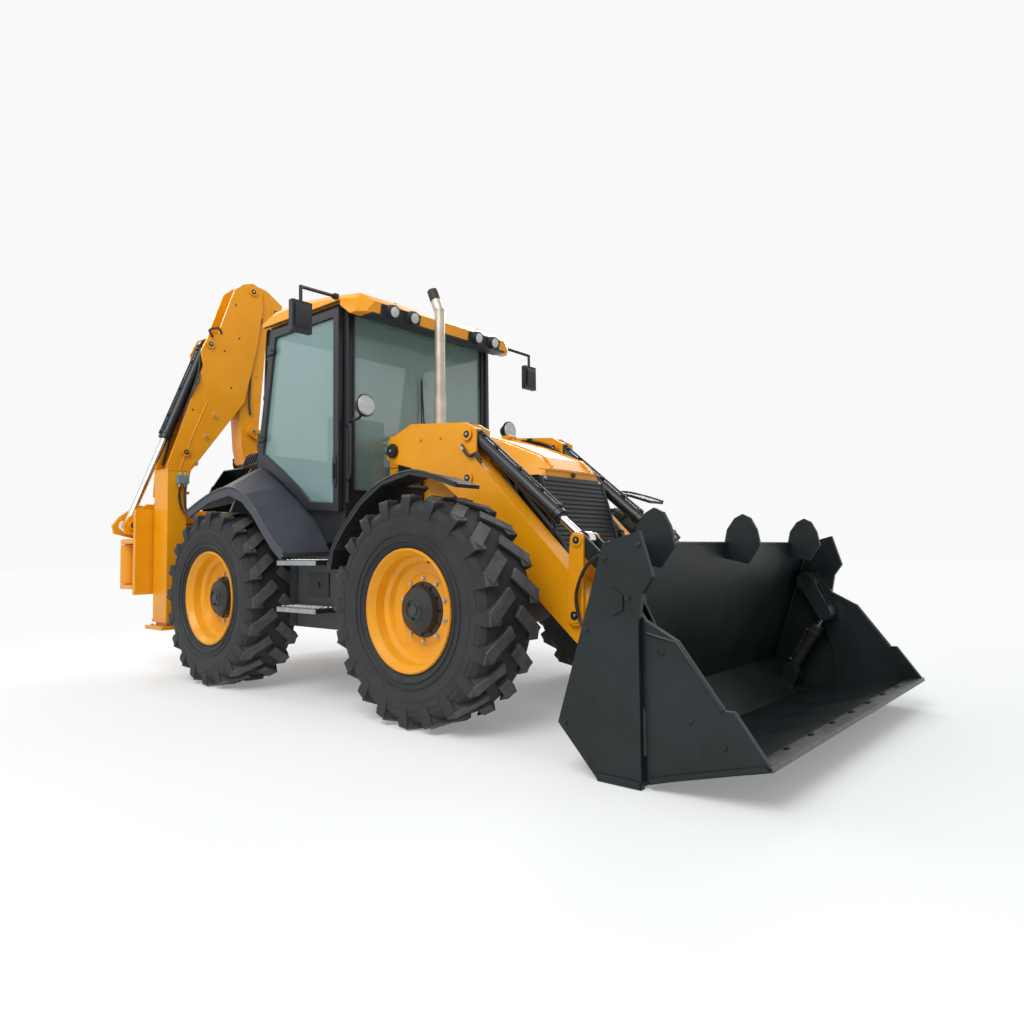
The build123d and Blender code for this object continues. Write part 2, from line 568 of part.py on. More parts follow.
with BuildPart() as cowl:
    cowl_floor = RAIL_Z[1] + SEAT
    slab(side(0), [(CAB_FRONT + 20, cowl_floor), (HOOD_REAR - PLAY, cowl_floor),
                   (HOOD_REAR - PLAY, 1800), (HOOD_REAR - 160, 1840), (CAB_FRONT + 20, 1840)],
         2 * HOOD_HALF)
    slab(side(0), [(CAB_FRONT, cowl_floor + HOOD_T), (HOOD_REAR - 40, cowl_floor + HOOD_T),
                   (HOOD_REAR - 40, 1770), (HOOD_REAR - 170, 1810), (CAB_FRONT, 1810)],
         2 * (HOOD_HALF - HOOD_T), mode=Mode.SUBTRACT)
    for y in (-220, 220):
        for shift in (-1, 1):
            plane = side(y + shift * 30)
            slab(plane, [(HOOD_REAR - 60, 1795), (HOOD_REAR - 6, 1790), (HOOD_REAR - 6, 1808),
                         (HOOD_HINGE[0], 1808), (HOOD_HINGE[0], 1832), (HOOD_REAR - 60, 1832)], 16)
            disc(plane, HOOD_HINGE, 14, 16)
        disc(side(y), HOOD_HINGE, 8, 70)
save(cowl, "cowl")

with BuildPart() as exhaust:
    stack_x, stack_y = FX - 590, -300
    bar((stack_x, stack_y, 1840 + SEAT), (stack_x, stack_y, 2700), 36)
    bar((stack_x, stack_y, 2680), (stack_x - 75, stack_y, 2850), 36)
save(exhaust, "exhaust_stack")

# Cab: its back leans forward, and the doors hang on that slope
REAR_LEAN = 190.0          # how far the back's top stands ahead of its foot
BACK_LOW, BACK_HIGH = 1650.0, CAB_TOP
FRONT_LOW = 1300.0
TUB_HALF = 500.0
FRAME_W = 70.0             # width of the posts round the glass
DOOR_T = 40.0
DOOR_Y = CAB_HALF + PLAY + DOOR_T / 2
DOOR_FOOT = (CAB_REAR + 75, 1735.0)
DOOR_HEAD = (CAB_REAR + 75 + REAR_LEAN, 2715.0)
HINGE_OUT = 26.0           # hinge line behind the door's back edge
HINGES = ((0.12, 0.20), (0.80, 0.88))


def on_back(z, shift=0.0):
    """A point on the cab's leaning back, in side view."""
    return (CAB_REAR + REAR_LEAN * (z - BACK_LOW) / (BACK_HIGH - BACK_LOW) + shift, z)


def on_hinge(share, y):
    """A point on a door's hinge line, a share of the way up."""
    return (DOOR_FOOT[0] - HINGE_OUT + (DOOR_HEAD[0] - DOOR_FOOT[0]) * share,
            y, DOOR_FOOT[1] + (DOOR_HEAD[1] - DOOR_FOOT[1]) * share)


BACK_FRAME = [on_back(BACK_LOW), on_back(BACK_HIGH), on_back(BACK_HIGH, WALL), on_back(BACK_LOW, WALL)]
BACK_PANE = [on_back(BACK_LOW + 120, -9), on_back(CAB_TOP - FRAME_W, -9),
             on_back(CAB_TOP - FRAME_W, WALL + 9), on_back(BACK_LOW + 120, WALL + 9)]
FRONT_FRAME = [(CAB_FRONT - WALL, FRONT_LOW), (CAB_FRONT - WALL, CAB_TOP), (CAB_FRONT, CAB_TOP),
               (CAB_FRONT, FRONT_LOW)]
FRONT_PANE = [(CAB_FRONT - WALL - 9, FRONT_LOW + 120), (CAB_FRONT - WALL - 9, CAB_TOP - FRAME_W),
              (CAB_FRONT + 9, CAB_TOP - FRAME_W), (CAB_FRONT + 9, FRONT_LOW + 120)]
with BuildPart() as cab:
    lower = [(CAB_REAR, 1330), (RX + 300, 1330), (RX + 560, 1200), (RX + 720, CAB_FLOOR),
             (CAB_FRONT, CAB_FLOOR)]
    door_hole = [on_back(1790, 90), on_back(CAB_TOP - FRAME_W, 90), (CAB_FRONT - FRAME_W, CAB_TOP - FRAME_W),
                 (CAB_FRONT - FRAME_W, 1350), (RX + 720, 1350), (RX + 590, 1455), (RX + 400, 1590)]
    for hand in (-1, 1):
        plane = side(hand * (CAB_HALF - WALL / 2))
        slab(plane, lower + [(CAB_FRONT, CAB_TOP), on_back(CAB_TOP), on_back(BACK_LOW)], WALL)
        slab(plane, door_hole, WALL + 2, mode=Mode.SUBTRACT)
        slab(side(hand * (TUB_HALF + CAB_HALF - WALL) / 2), band(lower, 25), CAB_HALF - WALL - TUB_HALF + 4)
        slab(side(hand * (TUB_HALF - 12)), lower[:-1] + [(CAB_REAR, CAB_FLOOR)], 24)
        # air intake behind the door
        slab(side(hand * (CAB_HALF - 50)), [(CAB_REAR + 1, 1700), (CAB_REAR - 250, 1690),
             (CAB_REAR - 170, 1770), on_back(1800, 1)], 100)
        for low, high in HINGES:
            hinge_foot = on_hinge(low, hand * DOOR_Y)
            bar(on_hinge(low - 0.015, hand * DOOR_Y), on_hinge(high, hand * DOOR_Y), 8)
            y_lo, y_hi = sorted((hand * (CAB_HALF - 1), hand * (DOOR_Y + 14)))
            block((hinge_foot[0] - 16, y_lo, hinge_foot[2] - 24), (hinge_foot[0] + 12, y_hi, hinge_foot[2] - 6))
    slab(side(0), BACK_FRAME, 2 * CAB_HALF)
    slab(side(0), BACK_PANE, 2 * (CAB_HALF - FRAME_W), mode=Mode.SUBTRACT)
    slab(side(0), FRONT_FRAME, 2 * CAB_HALF)
    slab(side(0), FRONT_PANE, 2 * (CAB_HALF - FRAME_W), mode=Mode.SUBTRACT)
    block((CAB_REAR, -TUB_HALF, CAB_FLOOR), (CAB_FRONT, TUB_HALF, CAB_FLOOR + 40))
    block((CAB_FRONT - 40, -CAB_HALF, CAB_FLOOR), (CAB_FRONT, CAB_HALF, 1310))
    block((CAB_REAR, -TUB_HALF, CAB_FLOOR), (CAB_REAR + 40, TUB_HALF, 1700))
    block((CAB_REAR, -CAB_HALF, 1330), (CAB_REAR + 40, CAB_HALF, BACK_LOW + 1))
    block((CAB_REAR + 100, -400, RAIL_Z[1] + SEAT), (CAB_FRONT - 100, 400, CAB_FLOOR + 1))
save(cab, "cab_frame")

NOSE_LOW = (CAB_FRONT + 240, 2640.0)
NOSE_HIGH = (CAB_FRONT + 255, 2722.0)
LAMP_R = 38.0
LAMP_DEPTH = 42.0


def nose_point(out):
    """A point straight out from the middle of the roof's nose."""
    dx, dz = NOSE_HIGH[0] - NOSE_LOW[0], NOSE_HIGH[1] - NOSE_LOW[1]
    run = hypot(dx, dz)
    return ((NOSE_LOW[0] + NOSE_HIGH[0]) / 2 + out * dz / run, (NOSE_LOW[1] + NOSE_HIGH[1]) / 2 - out * dx / run)


with BuildPart() as roof:
    slab(side(0), [(on_back(CAB_TOP)[0] - 40, CAB_TOP + SEAT), (CAB_REAR + 165, 2830),
                   (CAB_REAR + 280, 2865), (CAB_REAR + 640, 2870), (CAB_FRONT - 60, 2815),
                   (CAB_FRONT + 190, 2775), NOSE_HIGH, NOSE_LOW,
                   (CAB_FRONT + 120, 2640), (CAB_FRONT + 12, CAB_TOP - 40), (CAB_FRONT + 12, CAB_TOP + SEAT)],
         2 * (CAB_HALF + 55))
    chamfer(roof.faces().filter_by(lambda f: f.normal_at().Z > 0.3).edges().filter_by(
        lambda e: abs(e.center().Y) > CAB_HALF + 50), 38)
    chamfer(roof.edges().filter_by(lambda e: e.length < 90 and e.center().X > CAB_FRONT + 230), 60)
    slab(side(0), [(CAB_REAR + 240, 2850), (CAB_REAR + 400, 2935), (CAB_REAR + 700, 2935),
                   (CAB_FRONT - 60, 2850), (CAB_FRONT - 60, 2800), (CAB_REAR + 300, 2800)], 1000)
save(roof, "cab_roof")

PANE_GAP = 0.3
with BuildPart() as glass:
    for pane, x_shift in ((BACK_PANE, WALL / 2 + 9), (FRONT_PANE, WALL / 2 + 9)):
        foot, head = pane[0], pane[1]
        slab(side(0), [(foot[0] + x_shift - 3, foot[1] + PANE_GAP), (head[0] + x_shift - 3, head[1] - PANE_GAP),
                       (head[0] + x_shift + 3, head[1] - PANE_GAP), (foot[0] + x_shift + 3, foot[1] + PANE_GAP)],
             2 * (CAB_HALF - FRAME_W - PANE_GAP))
save(glass, "cab_glass")

DOOR_LINE = [DOOR_FOOT, DOOR_HEAD, (CAB_FRONT - 20, 2715), (CAB_FRONT - 20, 1270),
             (RX + 740, 1300), (RX + 600, 1400), (RX + 400, 1530)]
PANE_LINE = [(DOOR_FOOT[0] + 75, 1765), (DOOR_HEAD[0] + 50, 2655), (CAB_FRONT - 80, 2655),
             (CAB_FRONT - 80, 1335), (RX + 770, 1358), (RX + 625, 1465), (RX + 425, 1597)]
for name, hand in (("right", -1), ("left", 1)):
    y = hand * DOOR_Y
    with BuildPart() as door:
        slab(side(y), DOOR_LINE, DOOR_T)
        slab(side(y), PANE_LINE, DOOR_T + 2, mode=Mode.SUBTRACT)
        for low, high in HINGES:
            bar(on_hinge(low, y), on_hinge(high, y), 14)
            knuckle_low, knuckle_high = on_hinge(low + 0.005, y), on_hinge(high - 0.005, y)
            slab(side(y), [knuckle_low[::2], knuckle_high[::2], (knuckle_high[0] + 40, knuckle_high[2]),
                           (knuckle_low[0] + 40, knuckle_low[2])], 16)
            bar(on_hinge(low - 0.01, y), on_hinge(high + 0.01, y), 8 + FIT, mode=Mode.SUBTRACT)
    save(door, f"door_{name}")
    with BuildPart() as pane:
        slab(side(y), PANE_LINE, 6)
    save(pane, f"door_glass_{name}")

with BuildPart() as seat:
    block((RX + 380, -240, CAB_FLOOR + 40 + SEAT), (RX + 700, 240, CAB_FLOOR + 300))
    block((RX + 300, -260, CAB_FLOOR + 300), (RX + 780, 260, CAB_FLOOR + 430))
    block((RX + 240, -250, CAB_FLOOR + 430), (RX + 360, 250, CAB_FLOOR + 1050))
save(seat, "seat")

with BuildPart() as console:
    column = (CAB_FRONT - 150, 0)
    block((column[0] - 90, -110, CAB_FLOOR + 40 + SEAT), (column[0] + 90, 110, 1400))
    bar((column[0], 0, 1350), (column[0] - 125, 0, 1848), 50)
    with Locations(Plane(origin=(column[0] - 130, 0, 1850), z_dir=(-0.3, 0, 0.95))):
        Torus(190, 16)
        Cylinder(50, 30)
        for turn in (0, 120, 240):
            with Locations(Rotation(0, 0, turn)):
                Box(190, 24, 10, align=(Align.MIN, Align.CENTER, Align.CENTER))
save(console, "steering_console")

# Mudguards on the tanks, and the tanks with their steps
TANK_TOP = 960.0
FENDER_IN = CAB_HALF + SEAT
FENDER_OUT = 1120.0
GUARD_IN = 930.0            # where the front guard's falling tail starts
FENDER_T = 20.0
LIP_T = 60.0
TANK_FRONT = FX - 770
FRONT_GUARD = [(FX + 370, 1345), (FX + 200, 1400), (FX, 1441), (FX - 251, 1395),
               (FX - 440, 1290), (FX - 610, 1140), (FX - 725, 1005), (FX - 748, 900)]
GUARD_OUTER = [(RX + 960, 985), (RX + 850, 1060), (RX + 720, 1180), (RX + 600, 1300),
               (RX + 450, 1410), (RX + 250, 1475), (RX - 50, 1440), (RX - 400, 1330)]
GUARD_INNER = [(RX + 960, 990), (RX + 860, 1120), (RX + 735, 1270), (RX + 600, 1370),
               (RX + 400, 1500), (RX + 60, 1665), (RX - 60, 1655), (RX - 400, 1420)]
with BuildPart() as fenders:
    for hand in (-1, 1):
        y_lo, y_hi = sorted((hand * FENDER_IN, hand * FENDER_OUT))
        slab(side((y_lo + y_hi) / 2), band(FRONT_GUARD[:2:-1], -FENDER_T), y_hi - y_lo)
        slab(side(hand * (GUARD_IN + FENDER_OUT) / 2), band(FRONT_GUARD[4::-1], -FENDER_T),
             FENDER_OUT - GUARD_IN)
        for y, outline in ((hand * FENDER_IN, GUARD_INNER), (hand * FENDER_OUT, GUARD_OUTER)):
            with BuildSketch(side(y)):
                with BuildLine():
                    Polyline(*band(outline, FENDER_T), close=True)
                make_face()
        loft(ruled=True)
        slab(side(hand * (FENDER_OUT - 9)), band(GUARD_OUTER, LIP_T), 18)
        block((TANK_FRONT + SEAT, y_lo, 880), (FX - 735, y_hi, 930))
        block((RX + 890, y_lo, TANK_TOP + SEAT), (RX + 960, y_hi, 985))
save(fenders, "fenders")

with BuildPart() as tanks:
    for hand in (-1, 1):
        y_lo, y_hi = sorted((hand * 560, hand * 950))
        block((RX + 780, y_lo, 480), (TANK_FRONT, y_hi, TANK_TOP))
        y_lo, y_hi = sorted((hand * (RAIL_Y + RAIL_W / 2 + SEAT), hand * 561))
        block((RX + 780, y_lo, 480), (FX - 980, y_hi, TANK_TOP))
        y_lo, y_hi = sorted((hand * 949, hand * 1120))
        for z in (610, 920):
            block((RX + 890, y_lo, z - 15), (RX + 1330, y_hi, z + 15))
save(tanks, "side_tanks")

with BuildPart() as lamps:
    for y in (-530, -340, 340, 530):
        lamp_back, lamp_front = nose_point(SEAT), nose_point(LAMP_DEPTH)
        bar((lamp_back[0], y, lamp_back[1]), (lamp_front[0], y, lamp_front[1]), LAMP_R)
save(lamps, "lamps")

MIRROR_Y = 1180.0
with BuildPart() as mirrors:
    for hand in (-1, 1):
        y_lo, y_hi = sorted((hand * (CAB_HALF + 55 + SEAT), hand * (CAB_HALF + 90)))
        block((CAB_FRONT - 40, y_lo, 2770), (CAB_FRONT, y_hi, 2800))
        bar((CAB_FRONT - 20, hand * (CAB_HALF + 80), 2785), (CAB_FRONT + 110, hand * MIRROR_Y, 2725), 12)
        bar((CAB_FRONT + 110, hand * MIRROR_Y, 2731), (CAB_FRONT + 110, hand * MIRROR_Y, 2600), 12)
        block((CAB_FRONT + 90, hand * MIRROR_Y - 75, 2420), (CAB_FRONT + 130, hand * MIRROR_Y + 75, 2625))
save(mirrors, "mirrors")

# Backhoe carriage on the rear rails, with the lugs for the kingpost
plate_x = RAIL_FACE - PLAY
with BuildPart() as carriage:
    block((plate_x - 45, SWING_Y - 75, 655), (plate_x, SWING_Y + 420, 1365))
    for low, high in ((655, 700 - SEAT), (1320 + SEAT, 1365)):
        block((plate_x - 1, SWING_Y + 235, low), (plate_x + 40, SWING_Y + 420, high))
    for z in SWING_EYES:
        strap(level(z + 17.5), (HOE_X, SWING_Y), (plate_x - 82, SWING_Y), 70, 76, 35)
    bar((HOE_X, SWING_Y, SWING_EYES[0]), (HOE_X, SWING_Y, SWING_EYES[1] + 35), 35)
save(carriage, "sideshift_carriage")

with BuildPart() as kingpost:
    bar((HOE_X, SWING_Y, SWING_EYES[0] + 35 + PLAY), (HOE_X, SWING_Y, SWING_EYES[1] - PLAY), 70)
    cheek = [(SWING_Y + 85, 775), (BOOM_FOOT[0] + 60, 860), (BOOM_FOOT[0] + 110, 1000),
             (BOOM_FOOT[0] + 80, 1200), (SWING_Y + 180, 1420), (SWING_Y + 90, 1420),
             (RAM_FOOT[0] - 20, 1315), (RAM_FOOT[0] - 75, 1240), (RAM_FOOT[0] - 60, 1170),
             (SWING_Y + 85, SWING_EYES[1] + 45)]
    for shift in (-1, 1):
        x = HOE_X + shift * (CHEEK_IN + CHEEK_T / 2)
        slab(across(x), cheek, CHEEK_T)
    neck = [(SWING_Y + 10, 760), (SWING_Y + 90, 760), (SWING_Y + 90, SWING_EYES[1] - 25),
            (SWING_Y + 10, SWING_EYES[1] - 25)]
    slab(across(HOE_X), neck, 2 * (CHEEK_IN + CHEEK_T))
    bar((HOE_X, SWING_Y, 700), (HOE_X, SWING_Y, 1165), 35 + FIT, mode=Mode.SUBTRACT)
    disc(across(HOE_X), BOOM_FOOT, PIN_R + 4, 2 * (CHEEK_IN + CHEEK_T) + 30)
    for shift in (-1, 1):
        disc(across(HOE_X + shift * (CHEEK_IN + CHEEK_T + 6)), RAM_FOOT, PIN_R + 4, 14)
save(kingpost, "kingpost")

# Boom: two side plates, boxed at the foot, open above for the dipper and its cylinder
BOOM_PLATE = [(-945, 1500), (-930, 1760), (-600, 2720), (-625, 2860), (-560, 3000), (-450, 3060),
              (-430, 3150), (-300, 3510), (-210, 3590), (-110, 3625), (-20, 3590), (0, 3400),
              (-60, 3000), (-190, 2440), (-710, 1740), (-760, 1500)]
BOOM_JOIN = [(-885, 1500), (-900, 1560), (-835, 1780), (-720, 1740), (-760, 1500)]
BOOM_BOX = [(BOOM_FOOT[0] - 62, 1000), (BOOM_FOOT[0] - 62, 1060), (-990, 1330), (-900, 1560),
            (-835, 1780), (-720, 1740), (-760, 1480), (BOOM_FOOT[0] + 75, 1060),
            (BOOM_FOOT[0] + 70, 990), (BOOM_FOOT[0] + 10, 950), (BOOM_FOOT[0] - 30, 955)]
with BuildPart() as boom:
    for shift in (-1, 1):
        x = HOE_X + shift * (BOOM_GAP + BOOM_T / 2)
        slab(across(x), BOOM_PLATE, BOOM_T)
    slab(across(HOE_X), BOOM_BOX, 2 * BOOM_GAP - 14)
    slab(across(HOE_X), BOOM_JOIN, 2 * BOOM_GAP + 2)
    web = [(-722, 1760), (-352, 2258), (-340, 2248), (-710, 1750)]
    slab(across(HOE_X), web, 2 * BOOM_GAP + 2)
    disc(across(HOE_X), BOOM_FOOT, PIN_R + 4 + FIT, 2 * BOOM_GAP, mode=Mode.SUBTRACT)
    disc(across(HOE_X), DIP_PIVOT, PIN_R, 2 * (BOOM_GAP + BOOM_T) + 20)
    disc(across(HOE_X), BOOM_EAR, PIN_R, 2 * (BOOM_GAP + BOOM_T) + 20)
    disc(across(HOE_X), DIP_RAM_BASE, PIN_R, 2 * (BOOM_GAP + BOOM_T) + 20)
save(boom, "boom")


def hoe_cylinder(label, base, eye, barrel, rod_r, inward):
    plane = across(HOE_X)
    run = hypot(eye[0] - base[0], eye[1] - base[1])
    overlap = run - BORE_START - ROD_SPARE - inward
    with BuildPart() as barrel_part:
        cylinder_barrel(plane, base, eye, barrel[0], barrel[1])
        bore_barrel(plane, base, eye, rod_r + FIT, barrel[1])
    save(barrel_part, f"{label}_barrel")
    with BuildPart() as rod_part:
        cylinder_rod(plane, base, eye, rod_r, overlap)
    save(rod_part, f"{label}_rod")


hoe_cylinder("boom_ram", BOOM_EAR, RAM_FOOT, BOOM_BARREL, BOOM_ROD_R, 20)
hoe_cylinder("dipper_ram", DIP_RAM_BASE, DIP_EYE, DIP_BARREL, DIP_ROD_R, 20)

# Dipper: a fork at the boom, boxed below, with ears for the bucket cylinder
DIPPER_IN = 52.0
DIPPER_OUT = 85.0
HOE_LINK_X = DIPPER_OUT + PLAY + LINK_T / 2
EAR_X = HOE_LINK_X + LINK_T / 2 + PLAY + LEVER_T / 2
BUCKET_VEC = polar((0, 0), BUCKET_ARM, BUCKET_ARM_DEG)
HOE_TOP = (HOE_LEVER[0] + BUCKET_VEC[0], HOE_LEVER[1] + BUCKET_VEC[1])
BUCKET_LINK = (BUCKET_PIN[0] + BUCKET_VEC[0], BUCKET_PIN[1] + BUCKET_VEC[1])
DIPPER_SIDE = [(-200, 3480), (-190, 3600), (-110, 3630), (60, 3600), (230, 3490), (220, 3340),
               (60, 3200), (20, 2700), (-40, 2000), (-75, 1850), (-165, 1850), (-200, 2000),
               (-250, 2700), (-250, 3200)]
DIPPER_BOX = [(-250, 2700), (-200, 2000), (-165, 1850), (-75, 1850), (-40, 2000), (20, 2700),
              (60, 3150), (20, 3150), (-30, 2740)]
with BuildPart() as dipper:
    plate_t = DIPPER_OUT - DIPPER_IN
    for shift in (-1, 1):
        slab(across(HOE_X + shift * (DIPPER_IN + DIPPER_OUT) / 2), DIPPER_SIDE, plate_t)
    slab(across(HOE_X), DIPPER_BOX, 2 * DIPPER_IN + 2)
    for pin in (HOE_LEVER, BUCKET_PIN):
        disc(across(HOE_X), pin, 52, 2 * (EAR_X - LEVER_T / 2 - PLAY))
    disc(across(HOE_X), DIP_PIVOT, PIN_R + FIT, 2 * DIPPER_OUT + 2, mode=Mode.SUBTRACT)
    disc(across(HOE_X), HOE_RAM_BASE, PIN_R, 2 * DIPPER_OUT + 16)
    disc(across(HOE_X), HOE_LEVER, PIN_R, 2 * (EAR_X + LEVER_T / 2) + 16)
    disc(across(HOE_X), BUCKET_PIN, PIN_R + FIT, 2 * EAR_X, mode=Mode.SUBTRACT)
save(dipper, "dipper")
hoe_cylinder("bucket_ram", HOE_RAM_BASE, HOE_TOP, HOE_BARREL, HOE_ROD_R, 380)

with BuildPart() as hoe_lever:
    for shift in (-1, 1):
        x = HOE_X + shift * EAR_X
        strap(across(x), HOE_LEVER, HOE_TOP, 50, 45, LEVER_T)
        disc(across(x), HOE_LEVER, PIN_R + FIT, LEVER_T + 2, mode=Mode.SUBTRACT)
        disc(across(HOE_X + shift * (HOE_LINK_X + 2)), HOE_TOP, PIN_R, LINK_T + 8)
save(hoe_lever, "bucket_lever")

with BuildPart() as hoe_link:
    for shift in (-1, 1):
        x = HOE_X + shift * HOE_LINK_X
        strap(across(x), HOE_TOP, BUCKET_LINK, 42, 42, LINK_T)
        for pin in (HOE_TOP, BUCKET_LINK):
            disc(across(x), pin, PIN_R + FIT, LINK_T + 2, mode=Mode.SUBTRACT)
save(hoe_link, "bucket_link")

# Digging bucket, drawn from its pin: along towards the teeth, and out to its back
BUCKET_SHAPE = [(110.0, -30), (150, 120), (190, 235), (300, 400), (560, 420), (790, 270), (930, 10)]


def from_pin(points):
    ux, uz = cos(radians(BUCKET_DIR_DEG)), sin(radians(BUCKET_DIR_DEG))
    return [(BUCKET_PIN[0] + a * ux - b * uz, BUCKET_PIN[1] + a * uz + b * ux) for a, b in points]


with BuildPart() as bucket:
    slab(across(HOE_X), from_pin(band(BUCKET_SHAPE, 14)), BUCKET_W - 2)
    for shift in (-1, 1):
        slab(across(HOE_X + shift * (BUCKET_W / 2 - 8)),
             from_pin(BUCKET_SHAPE + [(700, -40), (300, -60)]), 16)
        x = HOE_X + shift * EAR_X
        ear = from_pin([(-60, -20), (-45, 60), (60, 270), (240, 372), (260, 200), (60, -30), (0, -60)])
        slab(across(x), ear, LEVER_T)
    disc(across(HOE_X), BUCKET_PIN, PIN_R, 2 * (EAR_X + LEVER_T / 2) + 16)
    for shift in (-1, 1):
        disc(across(HOE_X + shift * (HOE_LINK_X + 2)), BUCKET_LINK, PIN_R, LINK_T + 8)
    for i in range(5):
        x = HOE_X + (i - 2) * (BUCKET_W - 60) / 4
        slab(across(x), from_pin([(880, 0), (900, 40), (1010, 12), (1010, 0)]), 50)
save(bucket, "dig_bucket")
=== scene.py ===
from math import cos, pi, radians, sin

import bmesh
import bpy
from mathutils import Matrix, Vector


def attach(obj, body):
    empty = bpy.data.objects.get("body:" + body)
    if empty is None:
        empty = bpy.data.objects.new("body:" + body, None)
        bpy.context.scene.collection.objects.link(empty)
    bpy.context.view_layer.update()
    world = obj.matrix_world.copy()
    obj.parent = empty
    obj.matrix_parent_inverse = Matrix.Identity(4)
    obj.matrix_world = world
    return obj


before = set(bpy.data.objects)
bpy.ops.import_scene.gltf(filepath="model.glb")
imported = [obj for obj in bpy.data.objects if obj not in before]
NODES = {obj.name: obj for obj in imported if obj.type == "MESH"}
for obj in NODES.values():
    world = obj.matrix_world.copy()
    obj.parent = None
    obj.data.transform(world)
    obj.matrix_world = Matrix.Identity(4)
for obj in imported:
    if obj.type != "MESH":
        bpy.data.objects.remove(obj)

# Places in the row frame, in millimetres, as in the part's source
FX, RX = 848.0, -1372.0
WHEEL_Y, TYRE_R = 955.0, 655.0
ARM_Y = 455.0
HOE_X = RX - 1290
CAB_REAR, CAB_FRONT = RX - 10, FX - 1090
DOOR_Y, MIRROR_Y = 765.0, 1180.0
SWING_Y = -1185.0
LEG_X, LEG_Y = RX - 856, 1040.0
CLAM_PIVOT = (FX + 1430, 760.0)
LEVER_PIVOT, LEVER_TOP = (FX + 720, 620.0), (FX + 740, 1040.0)
SHOVEL_PIN, LINK_PIN = (FX + 1050, 330.0), (FX + 1070, 750.0)
LIFT_PIVOT, LIFT_BASE, LIFT_PIN = (FX - 830, 1690.0), (FX - 810, 750.0), (FX - 110, 1450.0)
TILT_BASE = (FX - 110, 1730.0)


# Materials
def feed(tree, node, key, value):
    """Set a node's input to a value, or link it to the socket that gives it."""
    if isinstance(value, bpy.types.NodeSocket):
        tree.links.new(value, node.inputs[key])
    else:
        node.inputs[key].default_value = value


def add(tree, kind, inputs=(), **settings):
    """A shader node with its settings and inputs."""
    node = tree.nodes.new("ShaderNode" + kind)
    for key, value in settings.items():
        setattr(node, key, value)
    for key, value in dict(inputs).items():
        feed(tree, node, key, value)
    return node


def noise(tree, place, scale, detail=2.0, rough=0.5):
    values = {"Vector": place, "Scale": scale, "Detail": detail, "Roughness": rough}
    return add(tree, "TexNoise", values).outputs[0]


def spread(tree, value, **limits):
    """Map Range, with its limits named as from_min, from_max, to_min and to_max."""
    values = {key.replace("_", " ").title(): limit for key, limit in limits.items()}
    return add(tree, "MapRange", {"Value": value, **values}).outputs[0]


def calc(tree, operation, a, b):
    return add(tree, "Math", {0: a, 1: b}, operation=operation).outputs[0]


def ramp(tree, value, low, high, places=(0.0, 1.0)):
    """A colour that runs from low to high between two places of the value."""
    node = add(tree, "ValToRGB", {0: value})
    for stop, place, colour in zip(node.color_ramp.elements, places, (low, high)):
        stop.position = place
        stop.color = (*colour, 1)
    return node.outputs[0]


def blend(tree, factor, a, b):
    return add(tree, "Mix", {"Factor": factor, "A": a, "B": b}, data_type="RGBA").outputs["Result"]


def shader(name):
    """A new material, its emptied tree and the object's own coordinates."""
    m = bpy.data.materials.new(name)
    m.use_nodes = True
    m.node_tree.nodes.clear()
    return m, m.node_tree, add(m.node_tree, "TexCoord").outputs["Object"]


def surface(name, colour, rough, metal=0.0, vary=0.12, scale=9.0, grain=0.0, grain_scale=220.0,
            dust=0.0, dust_colour=(0.30, 0.26, 0.20), edge=0.0, coat=0.0, spec=0.5):
    """A painted, cast or moulded surface: mottled colour and gloss, fine grain, dust low down."""
    m, tree, place = shader(name)
    mottle = noise(tree, place, scale, 6, 0.62)
    dark = [c * (1 - vary) for c in colour]
    light = [min(1, c * (1 + vary) + vary * 0.01) for c in colour]
    paint = ramp(tree, mottle, dark, light, (0.32, 0.72))
    if dust:
        height = add(tree, "SeparateXYZ", {0: place}).outputs["Z"]
        low = spread(tree, height, from_min=1.1, from_max=0.05)
        patches = calc(tree, "MULTIPLY", low, noise(tree, place, 26, 8))
        paint = blend(tree, calc(tree, "MULTIPLY", patches, dust), paint, (*dust_colour, 1))
    gloss = spread(tree, mottle, to_min=max(0.03, rough - 0.10), to_max=min(1.0, rough + 0.10))
    b = add(tree, "BsdfPrincipled", {
        "Base Color": paint, "Roughness": gloss, "Metallic": metal, "Specular IOR Level": spec,
        "Coat Weight": coat, "Coat Roughness": 0.12})
    normal = add(tree, "Bevel", {"Radius": edge}, samples=4).outputs[0] if edge else None
    if grain:
        height = noise(tree, place, grain_scale, 3)
        bump = add(tree, "Bump", {"Height": height, "Strength": grain, "Distance": 0.002})
        if normal:
            feed(tree, bump, "Normal", normal)
        normal = bump.outputs[0]
    if normal:
        feed(tree, b, "Normal", normal)
    add(tree, "OutputMaterial", {0: b.outputs[0]})
    return m


def glass(name, tint, alpha):
    """Tinted glass with a faint haze."""
    m, tree, place = shader(name)
    cloud = noise(tree, place, 3, 4)
    b = add(tree, "BsdfPrincipled", {
        "Base Color": ramp(tree, cloud, [c * 0.9 for c in tint], tint),
        "Roughness": spread(tree, cloud, to_min=0.13, to_max=0.19),
        "Alpha": alpha, "IOR": 1.5, "Specular IOR Level": 0.8})
    add(tree, "OutputMaterial", {0: b.outputs[0]})
    m.blend_method = "BLEND"
    return m


def repaint(m, change):
    """Put change(tree, place, colour) between a material's colour and its shader."""
    tree = m.node_tree
    b = next(x for x in tree.nodes if x.bl_idname == "ShaderNodeBsdfPrincipled")
    colour = b.inputs["Base Color"].links[0].from_socket
    place = add(tree, "TexCoord").outputs["Object"]
    feed(tree, b, "Base Color", change(tree, place, colour))
    return m


